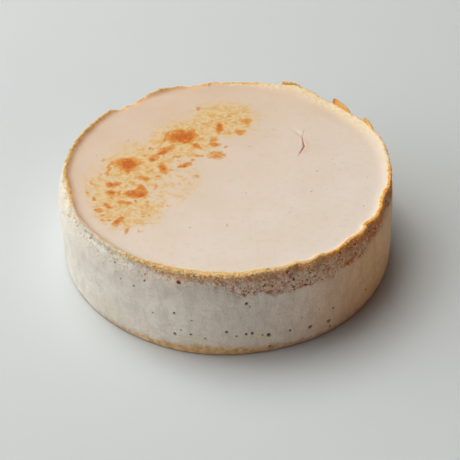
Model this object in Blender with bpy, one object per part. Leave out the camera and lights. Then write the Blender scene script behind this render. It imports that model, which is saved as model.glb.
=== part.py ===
"""Baked strawberry cheesecake, whole and uncut: a low round cake with a browned, crumbly rim.

Metres, +Z up. The origin is the centre of the flat underside. Angles are in degrees, counter-clockwise
from +X as seen from above, and the front of the cake faces -Y.
"""

import math
import random

import bmesh
import bpy
from mathutils import Matrix, Vector, noise

# Driving dimensions
BASE_RADIUS = 0.075
RIM_HEIGHT = 0.041
RIM_RADIUS = 0.0712
FILLING_HEIGHT = 0.0393

# Wall: the right side leans in all the way up, the left side is upright to a rounded shoulder
RIGHT_LEAN = 0.0031
RIGHT_LEAN_POWER = 1.5
LEFT_SHOULDER_START = 0.029
LEFT_SHOULDER_DROP = 0.0033
LEFT_SHOULDER_POWER = 1.3
LEFT_SIDE_ANGLE = 195.0
LEFT_SIDE_FULL = 45.0
LEFT_SIDE_END = 105.0
OUTLINE_WAVE = 0.0004
OUTLINE_WAVE_SIZE = 0.034
TOE_HEIGHT = 0.0012
TOE_INSET = 0.0009

# Torn, porous band under the rim, where the smooth skin stayed in the tin: narrow along the left side
BAND_FLOOR = 0.0300
BAND_FLOOR_LEFT = 0.0385
BAND_SCALLOP = 0.0012
BAND_SCALLOP_SIZE = 0.007
BAND_DEPTH = 0.0006
BAND_ROUGHNESS = 0.0006
BAND_FROM = -89.0
BAND_TO = 120.0
BAND_FADE = 6.0
BAND_LEDGE = (-0.0004, 0.0008)
SHOULDER_ROUGHNESS = 0.0003
GRAIN_SIZE = 0.0032

# Rim crest, and the slope from it down to the filling
CREST_ROUND = 0.0006
CREST_WAVE = 0.0004
CREST_WAVE_SIZE = 0.0045
BREAK_START = 0.0334
BREAK_START_LEFT = 0.0376
BROWNED_SLOPE = 0.4
STEEP_SLOPE = 0.0009
GENTLE_SLOPE = 0.0042
GENTLE_SLOPE_ANGLE = 40.0
GENTLE_SLOPE_SPREAD = 48.0
SLOPE_FALL = 1.6
SLOPE_POWER = 1.5
FILLING_WAVE = 0.00025
FILLING_WAVE_SIZE = 0.028

# Levels at which separate layers of the noise are read, so that height and radius vary on their own
CREST_HEIGHT_LAYER = 0.02
CREST_RADIUS_LAYER = 0.05
FILLING_LAYER = 0.3

# Where the rim stands up, sinks or is broken back: angle, half width, lift, outward shift
RIM_FEATURES = (
    (17.0, 13.0, 0.0006, 0.0016),
    (60.0, 8.0, 0.0018, 0.0009),
    (89.0, 9.0, -0.0007, -0.0006),
    (104.0, 5.0, -0.0013, -0.0013),
    (131.0, 7.0, -0.0018, -0.0018),
    (137.5, 2.0, -0.0009, -0.0009),
    (196.0, 8.0, -0.0003, -0.0014),
    (284.0, 6.0, 0.0, -0.0009),
    (293.0, 2.6, -0.0004, -0.0019),
    (301.5, 2.2, -0.0003, -0.0014),
    (314.0, 3.0, -0.0003, -0.0012),
    (325.5, 2.8, -0.0006, -0.0019),
    (341.0, 6.0, -0.0004, -0.0016),
)

# Browned chips that peel up from the rim: angle of the raised end, length back along the rim, height there
RIM_CHIPS = (
    (68.0, 0.0085, 0.0013),
    (44.7, 0.0095, 0.0034),
    (29.5, 0.0066, 0.0015),
)
CHIP_THICKNESS = 0.0014
CHIP_ROOT = 0.0020
CHIP_LEAN = 0.35
CHIP_BLUNTNESS = 2.5
CHIP_STEPS = 6

# Crumbs fused to the rim, in the stretches of it that crumble: first angle, last angle, how many
CRUMB_STRETCHES = (
    (204.0, 250.0, 9),
    (250.0, 292.0, 6),
    (292.0, 342.0, 9),
    (342.0, 470.0, 6),
)
CRUMB_SIZES = (0.0007, 0.0013)
CRUMB_LENGTHS = (0.9, 1.5)
CRUMB_DEPTHS = (0.6, 0.9)
CRUMB_SINKS = (0.0003, 0.0012)
CRUMB_JITTER = 0.2
CRUMB_SEED = 7

# Open bubbles in the wall: angle, height, width
WALL_BUBBLES = (
    (254.0, 0.0100, 0.0010),
    (259.0, 0.0110, 0.0008),
    (270.0, 0.0135, 0.0010),
    (273.0, 0.0110, 0.0007),
    (276.0, 0.0117, 0.0010),
    (277.8, 0.0118, 0.0010),
    (283.0, 0.0095, 0.0014),
    (290.0, 0.0095, 0.0009),
    (297.0, 0.0080, 0.0010),
    (304.0, 0.0068, 0.0012),
    (304.5, 0.0035, 0.0009),
    (305.5, 0.0130, 0.0009),
    (276.0, 0.0280, 0.0010),
    (254.0, 0.0215, 0.0008),
    (322.0, 0.0090, 0.0010),
    (338.0, 0.0125, 0.0009),
    (4.0, 0.0080, 0.0011),
    (31.0, 0.0105, 0.0009),
    (58.0, 0.0075, 0.0012),
    (96.0, 0.0115, 0.0010),
    (128.0, 0.0085, 0.0009),
)
BUBBLE_SHAPE = (0.6, 0.55, 0.45)
BUBBLE_JITTER = 0.1

# Crack in the filling, from the back to the front: x, y, half width
CRACK_COURSE = (
    (0.0356, 0.0272, 0.00010),
    (0.0350, 0.0215, 0.00025),
    (0.0349, 0.0155, 0.00060),
    (0.0333, 0.0120, 0.00030),
    (0.0318, 0.0085, 0.00008),
)
CRACK_DEPTH = 0.0012
CRACK_CLEARANCE = 0.001
CRACK_FLARE = 1.6

# Mesh density
COLUMNS = 180
WALL_HEIGHTS = (0.0070, 0.0150, 0.0220, 0.0268, 0.0293, 0.0310, 0.0334, 0.0356, 0.0376, 0.0393)
SLOPE_STEPS = (0.0, 0.35, 0.9, 1.8)
RINGS = ((0.0590, 180), (0.0500, 90), (0.0380, 90), (0.0260, 45), (0.0140, 45))

# Looks
FILLING_COLOUR = (0.79, 0.64, 0.52, 1.0)
CRUST_COLOUR = (0.50, 0.27, 0.11, 1.0)
ROUGHNESS = 0.6
SHARP_FROM = 40.0


def clear_scene():
    for thing in list(bpy.data.objects):
        bpy.data.objects.remove(thing, do_unlink=True)


def smooth_step(low, high, value):
    share = min(max((value - low) / (high - low), 0.0), 1.0)
    return share * share * (3.0 - 2.0 * share)


def angle_between(angle, other):
    return (angle - other + 180.0) % 360.0 - 180.0


def swell(angle, centre, half_width):
    """1 at the centre angle, falling away smoothly on both sides."""
    return math.exp(-((angle_between(angle, centre) / half_width) ** 2))


def around(angle, radius, height):
    turn = math.radians(angle)
    return Vector((radius * math.cos(turn), radius * math.sin(turn), height))


def roughness_at(angle, radius, height, size):
    """Even noise from -1 to 1, whose bumps are about as wide as size."""
    return noise.noise(around(angle, radius, height) / size)


def left_share(angle):
    away = abs(angle_between(angle, LEFT_SIDE_ANGLE))
    return 1.0 - smooth_step(LEFT_SIDE_FULL, LEFT_SIDE_END, away)


def band_floor(angle):
    """Height of the torn band's scalloped lower edge."""
    since_start = (angle - BAND_FROM) % 360.0
    to_end = BAND_TO - BAND_FROM - since_start
    wide = smooth_step(0.0, BAND_FADE, since_start) * smooth_step(0.0, BAND_FADE, to_end)
    scallop = BAND_SCALLOP * roughness_at(angle, BASE_RADIUS, 0.0, BAND_SCALLOP_SIZE)
    return BAND_FLOOR_LEFT + wide * (BAND_FLOOR - BAND_FLOOR_LEFT) + scallop


def clean_wall_radius(angle, height):
    lean = RIGHT_LEAN * (height / RIM_HEIGHT) ** RIGHT_LEAN_POWER
    over_shoulder = max(0.0, (height - LEFT_SHOULDER_START) / (RIM_HEIGHT - LEFT_SHOULDER_START))
    shoulder = LEFT_SHOULDER_DROP * over_shoulder**LEFT_SHOULDER_POWER
    left = left_share(angle)
    wave = OUTLINE_WAVE * roughness_at(angle, BASE_RADIUS, height / 2, OUTLINE_WAVE_SIZE)
    return BASE_RADIUS - left * shoulder - (1.0 - left) * lean + wave


def wall_radius(angle, height):
    """The wall with its torn band cut back and roughened, and the crumbly shoulder of the left side."""
    floor = band_floor(angle)
    torn = smooth_step(floor + BAND_LEDGE[0], floor + BAND_LEDGE[1], height)
    crumbly = left_share(angle) * smooth_step(LEFT_SHOULDER_START, RIM_HEIGHT, height)
    grain = roughness_at(angle, BASE_RADIUS, height, GRAIN_SIZE)
    relief = grain * (torn * BAND_ROUGHNESS + crumbly * SHOULDER_ROUGHNESS)
    return clean_wall_radius(angle, height) - torn * BAND_DEPTH + relief


def rim_crest(angle):
    """Radius and height of the rim's highest line at one angle."""
    radius = RIM_RADIUS + CREST_WAVE * roughness_at(angle, RIM_RADIUS, CREST_RADIUS_LAYER, CREST_WAVE_SIZE)
    height = RIM_HEIGHT + CREST_WAVE * roughness_at(angle, RIM_RADIUS, CREST_HEIGHT_LAYER, CREST_WAVE_SIZE)
    for centre, half_width, lift, shift in RIM_FEATURES:
        share = swell(angle, centre, half_width)
        radius += share * shift
        height += share * lift
    return radius, height


def slope_width(angle):
    """Steep inside the left rim, and a gentle slope behind on the right."""
    return STEEP_SLOPE + GENTLE_SLOPE * swell(angle, GENTLE_SLOPE_ANGLE, GENTLE_SLOPE_SPREAD)


def filling_height(x, y):
    return FILLING_HEIGHT + FILLING_WAVE * noise.noise(Vector((x, y, FILLING_LAYER)) / FILLING_WAVE_SIZE)


def toe_points(angle):
    """The rounded edge between the underside and the wall, as an arc of three points."""
    toe = clean_wall_radius(angle, 0.0)
    points = []
    for turn in (0.0, math.pi / 4, math.pi / 2):
        inset = TOE_INSET * (1.0 - math.sin(turn))
        points.append(around(angle, toe - inset, TOE_HEIGHT * (1.0 - math.cos(turn))))
    return points


def wall_points(angle):
    """Up the wall, stretched or squeezed near the top to end just under the crest."""
    crest_radius, crest_height = rim_crest(angle)
    stretch = (crest_height - CREST_ROUND) / RIM_HEIGHT - 1.0
    left = left_share(angle)
    break_start = left * BREAK_START_LEFT + (1.0 - left) * BREAK_START
    points = []
    for height in WALL_HEIGHTS:
        broken_back = smooth_step(break_start, RIM_HEIGHT, height) * max(0.0, RIM_RADIUS - crest_radius)
        level = height * (1.0 + stretch * smooth_step(BAND_FLOOR, RIM_HEIGHT, height))
        points.append(around(angle, wall_radius(angle, height) - broken_back, level))
    return points


def rim_points(angle):
    """Over the crest and down the slope inside it to the filling."""
    crest_radius, crest_height = rim_crest(angle)
    half_round = CREST_ROUND / 2
    points = [around(angle, crest_radius + half_round, crest_height - half_round)]
    width = slope_width(angle)
    for step in SLOPE_STEPS:
        spot = around(angle, crest_radius - half_round - step * width, 0.0)
        low = filling_height(spot.x, spot.y)
        spot.z = low + (crest_height - low) * math.exp(-SLOPE_FALL * step**SLOPE_POWER)
        points.append(spot)
    return points


def section(angle):
    """Points of the cake's outline at one angle, from the underside to the filling."""
    return toe_points(angle) + wall_points(angle) + rim_points(angle)


def ring_points(radius, count):
    points = []
    for index in range(count):
        spot = around(360.0 * index / count, radius, 0.0)
        spot.z = filling_height(spot.x, spot.y)
        points.append(spot)
    return points


def join_rings(body, outer, inner):
    """Faces between two rings of vertices, where the inner ring has as many or half as many."""
    ratio = len(outer) // len(inner)
    for index, corner in enumerate(inner):
        following = inner[(index + 1) % len(inner)]
        steps = [outer[(index * ratio + step) % len(outer)] for step in range(ratio + 1)]
        body.faces.new((steps[0], steps[1], corner))
        body.faces.new((steps[1], following, corner))
        if ratio == 2:
            body.faces.new((steps[1], steps[2], following))


def whole_cake():
    """The cake before anything is fused to it or cut from it."""
    body = bmesh.new()
    sections = [section(360.0 * column / COLUMNS) for column in range(COLUMNS)]
    rings = [[body.verts.new(points[row]) for points in sections] for row in range(len(sections[0]))]
    for radius, count in RINGS:
        rings.append([body.verts.new(spot) for spot in ring_points(radius, count)])
    for outer, inner in zip(rings, rings[1:]):
        join_rings(body, outer, inner)
    body.faces.new(list(reversed(rings[0])))
    body.faces.new(rings[-1])
    return finished("cheesecake", body)


def finished(name, body):
    """Turns a closed bmesh's faces outwards and makes an object of it."""
    bmesh.ops.recalc_face_normals(body, faces=body.faces)
    mesh = bpy.data.meshes.new(name)
    body.to_mesh(mesh)
    body.free()
    return bpy.data.objects.new(name, mesh)


def loft(name, outlines):
    """A closed body through outlines that have the same number of corners, with flat ends."""
    body = bmesh.new()
    rows = [[body.verts.new(corner) for corner in outline] for outline in outlines]
    for one, two in zip(rows, rows[1:]):
        for index in range(len(one)):
            after = (index + 1) % len(one)
            body.faces.new((one[index], one[after], two[after], two[index]))
    body.faces.new(rows[0])
    body.faces.new(list(reversed(rows[-1])))
    return finished(name, body)


def facing_out(angle, radius, height, size):
    """Places a unit ball with X outwards, Y along the rim and Z up, scaled to the half sizes given."""
    turned = Matrix.Rotation(math.radians(angle), 4, "Z")
    return Matrix.Translation(around(angle, radius, height)) @ turned @ Matrix.Diagonal((*size, 1.0))


def lump(name, matrix, jitter, draw):
    """A small uneven closed lump: a unit ball with its corners moved about, then placed."""
    ball = bmesh.new()
    bmesh.ops.create_icosphere(ball, subdivisions=1, radius=1.0)
    for corner in ball.verts:
        corner.co *= 1.0 + draw.uniform(-jitter, jitter)
    bmesh.ops.transform(ball, matrix=matrix, verts=ball.verts)
    return finished(name, ball)


def rim_chip(angle, length, height):
    """A thin tongue along the rim, blunt and raised at one end and dropping into the crest at the other."""
    outlines = []
    for step in range(CHIP_STEPS):
        share = step / (CHIP_STEPS - 1)
        here = angle - math.degrees(length * share / RIM_RADIUS)
        radius, crest = rim_crest(here)
        rise = height * (1.0 - share**CHIP_BLUNTNESS)
        half = CHIP_THICKNESS / 2 * (1.0 - share / 2)
        tip = radius + CHIP_LEAN * rise
        corners = (
            (radius - half, crest - CHIP_ROOT),
            (radius + half, crest - CHIP_ROOT),
            (tip + half, crest + rise - half / 2),
            (tip, crest + rise),
            (tip - half, crest + rise - half / 2),
        )
        outlines.append([around(here, *corner) for corner in corners])
    return loft("rim_chip", outlines)


def rim_crumbs(draw):
    crumbs = []
    for first, last, count in CRUMB_STRETCHES:
        for index in range(count):
            angle = first + (last - first) * (index + draw.random()) / count
            radius, crest = rim_crest(angle)
            half = draw.uniform(*CRUMB_SIZES)
            size = (half, half * draw.uniform(*CRUMB_LENGTHS), half * draw.uniform(*CRUMB_DEPTHS))
            sunk = crest - draw.uniform(*CRUMB_SINKS)
            crumbs.append(lump("crumb", facing_out(angle, radius, sunk, size), CRUMB_JITTER, draw))
    return crumbs


def wall_bubbles(draw):
    bubbles = []
    for angle, height, width in WALL_BUBBLES:
        size = [width * share for share in BUBBLE_SHAPE]
        place = facing_out(angle, wall_radius(angle, height), height, size)
        bubbles.append(lump("bubble", place, BUBBLE_JITTER, draw))
    return bubbles


def crack():
    """A blade with a V section that follows the crack's course and opens its widest half way."""
    widest = max(half_width for _, _, half_width in CRACK_COURSE)
    outlines = []
    for x, y, half_width in CRACK_COURSE:
        level = filling_height(x, y)
        flare = CRACK_FLARE * half_width
        outlines.append(
            (
                (x - flare, y, level + CRACK_CLEARANCE),
                (x, y, level - CRACK_DEPTH * half_width / widest),
                (x + flare, y, level + CRACK_CLEARANCE),
            )
        )
    return loft("crack", outlines)


def combine(cake, pieces, operation):
    """Fuses the pieces to the cake or cuts them from it, then removes them."""
    group = bpy.data.collections.new(operation)
    bpy.context.scene.collection.children.link(group)
    for piece in pieces:
        group.objects.link(piece)
    modifier = cake.modifiers.new(operation, "BOOLEAN")
    modifier.operation = operation
    modifier.operand_type = "COLLECTION"
    modifier.collection = group
    modifier.solver = "EXACT"
    evaluated = cake.evaluated_get(bpy.context.evaluated_depsgraph_get())
    joined = bpy.data.meshes.new_from_object(evaluated)
    cake.modifiers.remove(modifier)
    cake.data = joined
    for piece in pieces:
        bpy.data.objects.remove(piece, do_unlink=True)
    bpy.data.collections.remove(group)


def shells_of(body):
    """Lists of the corners that hang together, one list for each separate shell."""
    shells = []
    for start in body.verts:
        if start.tag:
            continue
        start.tag = True
        shell = [start]
        for corner in shell:
            neighbours = [edge.other_vert(corner) for edge in corner.link_edges]
            fresh = [other for other in neighbours if not other.tag]
            for other in fresh:
                other.tag = True
            shell += fresh
        shells.append(shell)
    return shells


def drop_scraps(mesh):
    """Removes every shell but the largest: loose scraps, and hollows that fusing has sealed."""
    body = bmesh.new()
    body.from_mesh(mesh)
    for shell in sorted(shells_of(body), key=len)[:-1]:
        bmesh.ops.delete(body, geom=shell, context="VERTS")
    bmesh.ops.triangulate(body, faces=body.faces)
    body.to_mesh(mesh)
    body.free()


def material(name, colour):
    made = bpy.data.materials.new(name)
    made.use_nodes = True
    shader = made.node_tree.nodes["Principled BSDF"]
    shader.inputs["Base Color"].default_value = colour
    shader.inputs["Roughness"].default_value = ROUGHNESS
    shader.inputs["Metallic"].default_value = 0.0
    return made


def is_browned(spot):
    """True on the rim's crest and on the torn band under it."""
    angle = math.degrees(math.atan2(spot.y, spot.x))
    radius = math.hypot(spot.x, spot.y)
    crest_radius, _ = rim_crest(angle)
    outside_filling = radius > crest_radius - CREST_ROUND / 2 - BROWNED_SLOPE * slope_width(angle)
    return outside_filling and spot.z > band_floor(angle) + BAND_LEDGE[1]


def colour_faces(mesh):
    mesh.materials.clear()
    mesh.materials.append(material("baked_filling", FILLING_COLOUR))
    mesh.materials.append(material("browned_crust", CRUST_COLOUR))
    for face in mesh.polygons:
        face.material_index = int(is_browned(face.center))


def build_cheesecake():
    cake = whole_cake()
    bpy.context.scene.collection.objects.link(cake)
    draw = random.Random(CRUMB_SEED)
    combine(cake, [rim_chip(*chip) for chip in RIM_CHIPS] + rim_crumbs(draw), "UNION")
    combine(cake, wall_bubbles(draw) + [crack()], "DIFFERENCE")
    drop_scraps(cake.data)
    cake.data.name = "cheesecake"
    colour_faces(cake.data)
    cake.data.shade_smooth()
    cake.data.set_sharp_from_angle(angle=math.radians(SHARP_FROM))


clear_scene()
build_cheesecake()
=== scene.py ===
"""Looks of the baked cheesecake: a finer body in place of the plain solid, its crumbs, materials and light.

Metres, +Z up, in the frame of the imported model. Angles are in degrees, counter-clockwise from +X as seen
from above, and the front of the cake faces -Y.
"""

import math
import random

import bmesh
import bpy
import numpy as np
from mathutils import Matrix, Vector, noise


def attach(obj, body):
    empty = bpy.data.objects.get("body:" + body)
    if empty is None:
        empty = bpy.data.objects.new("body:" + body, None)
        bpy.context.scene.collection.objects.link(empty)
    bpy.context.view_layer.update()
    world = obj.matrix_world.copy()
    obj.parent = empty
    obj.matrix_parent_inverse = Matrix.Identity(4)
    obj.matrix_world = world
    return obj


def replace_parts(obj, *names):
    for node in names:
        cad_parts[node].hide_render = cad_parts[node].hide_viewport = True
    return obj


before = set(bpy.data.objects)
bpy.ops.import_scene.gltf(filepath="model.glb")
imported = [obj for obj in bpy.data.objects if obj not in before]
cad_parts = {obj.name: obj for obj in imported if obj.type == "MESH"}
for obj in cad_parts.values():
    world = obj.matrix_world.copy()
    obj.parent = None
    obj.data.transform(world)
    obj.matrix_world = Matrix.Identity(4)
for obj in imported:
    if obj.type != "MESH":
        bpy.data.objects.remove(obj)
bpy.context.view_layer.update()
NODE = "cheesecake"
BODY = "root"


def table(columns, *rows):
    """Rows of numbers, with the columns marked mm turned from millimetres into metres."""
    lengths = [column.endswith(" mm") for column in columns.split(", ")]
    return [tuple(value / 1000 if length else value for value, length in zip(row, lengths)) for row in rows]


# Main form, as in the solid
BASE_RADIUS = 0.075
RIM_HEIGHT = 0.041
RIM_RADIUS = 0.0712
FILLING_HEIGHT = 0.0393
RIGHT_LEAN = 0.0031
RIGHT_LEAN_POWER = 1.5
LEFT_SHOULDER_START = 0.029
LEFT_SHOULDER_DROP = 0.0033
LEFT_SHOULDER_POWER = 1.3
LEFT_SIDE_ANGLE = 195.0
LEFT_SIDE_FULL = 45.0
LEFT_SIDE_END = 105.0
OUTLINE_WAVE = 0.0004
OUTLINE_WAVE_SIZE = 0.034
TOE_HEIGHT = 0.0012
TOE_INSET = 0.0009
BAND_FLOOR = 0.0300
BAND_FLOOR_LEFT = 0.0385
BAND_SCALLOP = 0.0012
BAND_SCALLOP_SIZE = 0.007
BAND_DEPTH = 0.00045
BAND_ROUGHNESS = 0.0006
BAND_FROM = -89.0
BAND_TO = 132.0
BAND_START_FADE = 6.0
BAND_FADE = 52.0
BAND_LEDGE = (-0.0013, 0.0017)
BAND_EDGE_NOISE = 0.00045
BAND_EDGE_NOISE_SIZE = 0.0024
SHOULDER_ROUGHNESS = 0.0003
GRAIN_SIZE = 0.0032
CREST_ROUND = 0.0010
CREST_WAVE = 0.0004
CREST_WAVE_SIZE = 0.0045
BREAK_START = 0.0334
BREAK_START_LEFT = 0.0376
STEEP_SLOPE = 0.0019
GENTLE_SLOPE = 0.0032
GENTLE_SLOPE_ANGLE = 40.0
GENTLE_SLOPE_SPREAD = 48.0
SLOPE_FALL = 1.6
SLOPE_POWER = 1.5
FILLING_WAVE = 0.00025
FILLING_WAVE_SIZE = 0.028
CREST_HEIGHT_LAYER = 0.02
CREST_RADIUS_LAYER = 0.05
FILLING_LAYER = 0.3

# Lower edge of the torn band where the photograph shows it
BAND_EDGE = table(
    "angle, height mm",
    (-106, 38.6), (-99, 36.8), (-93, 35), (-88, 32.8), (-85, 31.2), (-82, 31.2), (-79, 32), (-76, 29.6),
    (-70, 30), (-57, 30), (-54.7, 28.8), (-53.5, 31.8), (-47.5, 30.3), (-44, 29.6), (-39, 30.8),
    (-35, 32.4), (-29, 33), (-24.8, 35), (-22.5, 36.6), (-19, 34.5), (-14, 33), (-9, 34.5), (-2, 35.2),
    (5, 33),
)

# Where the rim stands up, sinks or is broken back
RIM_FEATURES = table(
    "angle, half width, lift mm, outward shift mm",
    (17, 13, 0.6, 1.6), (60, 8, 1.8, 0.9), (89, 9, -0.7, -0.6), (104, 5, -1.3, -1.3),
    (131, 7, -1.8, -1.8), (137.5, 2, -0.9, -0.9), (196, 8, -0.3, -1.4), (284, 6, 0.0, -0.9),
    (293, 2.6, -0.4, -1.9), (301.5, 2.2, -0.3, -1.4), (314, 3, -0.3, -1.2), (325.5, 2.8, -0.6, -1.9),
    (341, 6, -0.4, -1.6),
)

# Browned chips that peel up from the rim
RIM_CHIPS = table(
    "angle of the raised end, length back along the rim mm, height there mm, darkness of its tip",
    (68, 9.5, 1.3, 0.1), (44.9, 12, 2.1, 1.0), (28.3, 7.8, 1.4, 0.55),
)
CHIP_THICKNESS = 0.0014
CHIP_ROOT = 0.0020
CHIP_LEAN = 0.35
CHIP_BLUNTNESS = 3.4
CHIP_STEPS = 26
CHIP_SIDE_STEPS = (0.35, 0.65, 0.85)
CHIP_WOBBLE = 0.00012
CHIP_WOBBLE_SIZE = 0.0011

# Open bubbles in the wall
WALL_BUBBLES = table(
    "angle, height mm, width mm",
    (254, 10, 1.3), (259, 11, 1.1), (270, 13.5, 1.3), (273, 11, 0.9), (276, 11.7, 1.3),
    (277.8, 11.8, 1.3), (283, 9.5, 1.8), (290, 9.5, 1.2), (297, 8, 1.7), (304, 6.8, 1.8),
    (304.5, 3.5, 1.2), (305.5, 13, 1.2), (276, 28, 1.3), (254, 21.5, 1.1), (322, 9, 1.3),
    (338, 12.5, 1.2), (4, 8, 1.4), (31, 10.5, 1.2), (58, 7.5, 1.5), (96, 11.5, 1.3), (128, 8.5, 1.2),
    (283.5, 3, 1.1), (277, 26.2, 0.8), (291, 31.7, 1.2), (290, 36.4, 1.3), (256, 12.8, 0.8),
    (263.5, 9.8, 0.8), (281, 10.2, 0.8), (294, 15, 0.7), (300, 16.2, 0.7), (247, 18.8, 0.7),
    (241, 30, 0.8), (244.5, 34, 0.9), (236, 30.5, 0.7), (259.5, 19, 0.7), (224, 37.2, 0.6),
    (233, 36, 0.8), (236.6, 36.3, 0.7),
)
BUBBLE_DEPTH = 0.55
PIT_UNEVENNESS = 0.40
PIT_NOISE_SIZE = 0.0008

# Saturated brown patches under the rim
WALL_PATCHES = table(
    "angle, height mm, half width along the rim mm, half height mm, strength",
    (-40, 38.2, 4, 2.4, 0.8), (-34, 36.6, 4.2, 4, 1.0), (-27, 37, 4.8, 3.4, 1.0),
    (-19.5, 38.2, 4, 2.6, 1.0), (-11, 37.8, 5, 3.2, 1.0), (-3, 38.2, 4, 2.6, 0.9),
    (-47, 31.8, 3.2, 1.3, 0.75), (-52, 37, 3, 2, 0.45), (-64, 38.5, 4.6, 1.7, 0.7),
    (-76, 37.8, 3.6, 1.4, 0.55), (-77.3, 31.8, 2.6, 0.7, 0.75), (-65.5, 30.6, 2.6, 0.9, 0.75),
    (8, 37, 4, 2.4, 0.8), (26, 36, 3.4, 3, 0.8), (47, 37.8, 4.4, 2, 0.8), (70, 36.6, 3, 2.6, 0.6),
    (93, 37.2, 3.4, 1.6, 0.5),
)

# Burnt spots on and under the rim
BURNT_SPOTS = table(
    "angle, height mm, half size mm, strength",
    (-38.5, 39.4, 1.3, 1.0), (-26.5, 39.4, 1.2, 1.0), (-70.8, 38.8, 0.8, 1.0), (-69, 35, 0.8, 0.9),
    (-65, 31.1, 0.9, 0.8), (-61.6, 33.5, 0.7, 0.8), (-59, 30.5, 0.5, 0.9), (-78.8, 34.6, 0.5, 0.8),
    (-88, 34.3, 0.5, 0.7), (-51.5, 38.8, 0.8, 0.8), (-44, 37.5, 0.6, 0.7), (-42, 33, 0.6, 0.6),
    (-16, 39.2, 1.0, 0.8), (20, 39.4, 1.0, 0.8), (38, 38, 0.7, 0.7), (61, 38.8, 0.9, 0.8),
    (84, 37.6, 0.6, 0.7), (-98.5, 38.2, 0.5, 0.6), (-112, 39.2, 0.6, 0.5),
)

# Crack in the filling
CRACK = table(
    "x mm, y mm, half width mm",
    (35.8, 29.7, 0.06), (34.5, 24.1, 0.14), (34.9, 16, 0.42), (33.1, 11.6, 0.24), (31.7, 8.6, 0.06),
)
CRACK_DEPTH = 0.0008
CRACK_LIP = 0.00018
CRACK_LIP_REACH = 0.0013

# Shallow dents in the filling
DENTS = table(
    "x mm, y mm, half length mm, half width mm, turn of the long axis, depth mm",
    (31.8, 28.5, 6.6, 1.3, 122, 0.2), (3.5, 30.7, 1.4, 0.8, 20, 0.18), (5.8, 26.2, 1.2, 0.8, 0.0, 0.18),
    (39, 23, 5.2, 3, 100, -0.12), (-6, -29, 10, 5, 30, 0.1), (16, -36, 12, 6, -20, 0.1),
    (25, 48, 9, 4, -50, 0.12), (-25, 52, 10, 4, 30, 0.12), (50, -15, 8, 4, 80, 0.1),
)

# Pinholes in the filling
PINHOLES = table(
    "x mm, y mm, width mm",
    (0.0, -39, 0.6), (8, -18, 0.5), (36, -17, 0.7), (57, -27, 0.6), (27, -28, 0.5), (26, -31, 0.5),
    (39.5, -2.5, 0.7), (47, 6.5, 0.6), (47.5, 2.5, 0.5), (58.5, 12.5, 0.5), (61, -6.5, 0.5),
    (-15, -41, 0.5), (19, 9, 0.4), (24, -8.5, 0.4), (41.5, -39.5, 0.5), (12.5, 57.5, 0.5),
    (-45.5, 21, 0.6), (-58.5, 9.5, 0.6), (-53, 17.5, 0.4), (-26, 43, 0.4),
)
PINHOLE_DEPTH = 0.6

# Mesh density
LOWER_COLUMNS = 480
BAND_COLUMNS = 960
SEAM_HEIGHT = 0.0276
LOWER_ROWS = 27
BAND_ROWS = 31
WALL_TOP = 0.0404
TOE_STEPS = 3
CREST_TURNS = (12.0, 30.0, 50.0, 70.0, 90.0)
FINE_SLOPE_STEPS = (0.10, 0.22, 0.36)
SLOPE_STEPS = (0.52, 0.70, 0.92, 1.18, 1.48, 1.85)
INNER_SLOPE_RADIUS = 0.0590
INNER_SLOPE_ROWS = 8
RING_RUNS = table(
    "first radius mm, last radius mm, rings, columns",
    (57.9, 55.7, 3, 480), (54.5, 54.5, 1, 480), (53.2, 35.0, 15, 240), (33.6, 29.4, 4, 240),
    (28.0, 15.4, 10, 120), (14.0, 8.6, 4, 60), (6.8, 4.5, 2, 30), (2.2, 2.2, 1, 15),
)
UNDERSIDE_RINGS = ((0.012, 60), (0.030, 120), (0.050, 240), (0.066, 480))
REFINE_REACH = 0.0014

# Soft yellow zone round the scorch marks
TOAST_PATCHES = table(
    "x mm, y mm, half length mm, half width mm, turn of the long axis, strength",
    (-2, 38, 19, 17, 20, 1.0), (-20, 22, 21, 17, 55, 1.0), (-38, 1.0, 21, 18, 60, 1.0),
    (-47, -22, 21, 12, 100, 1.0), (-38, -31, 15, 12, 30, 0.9), (-24, -14, 20, 12, 60, 0.5),
    (-54, -16, 19, 8, 110, 0.62),
)

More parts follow.
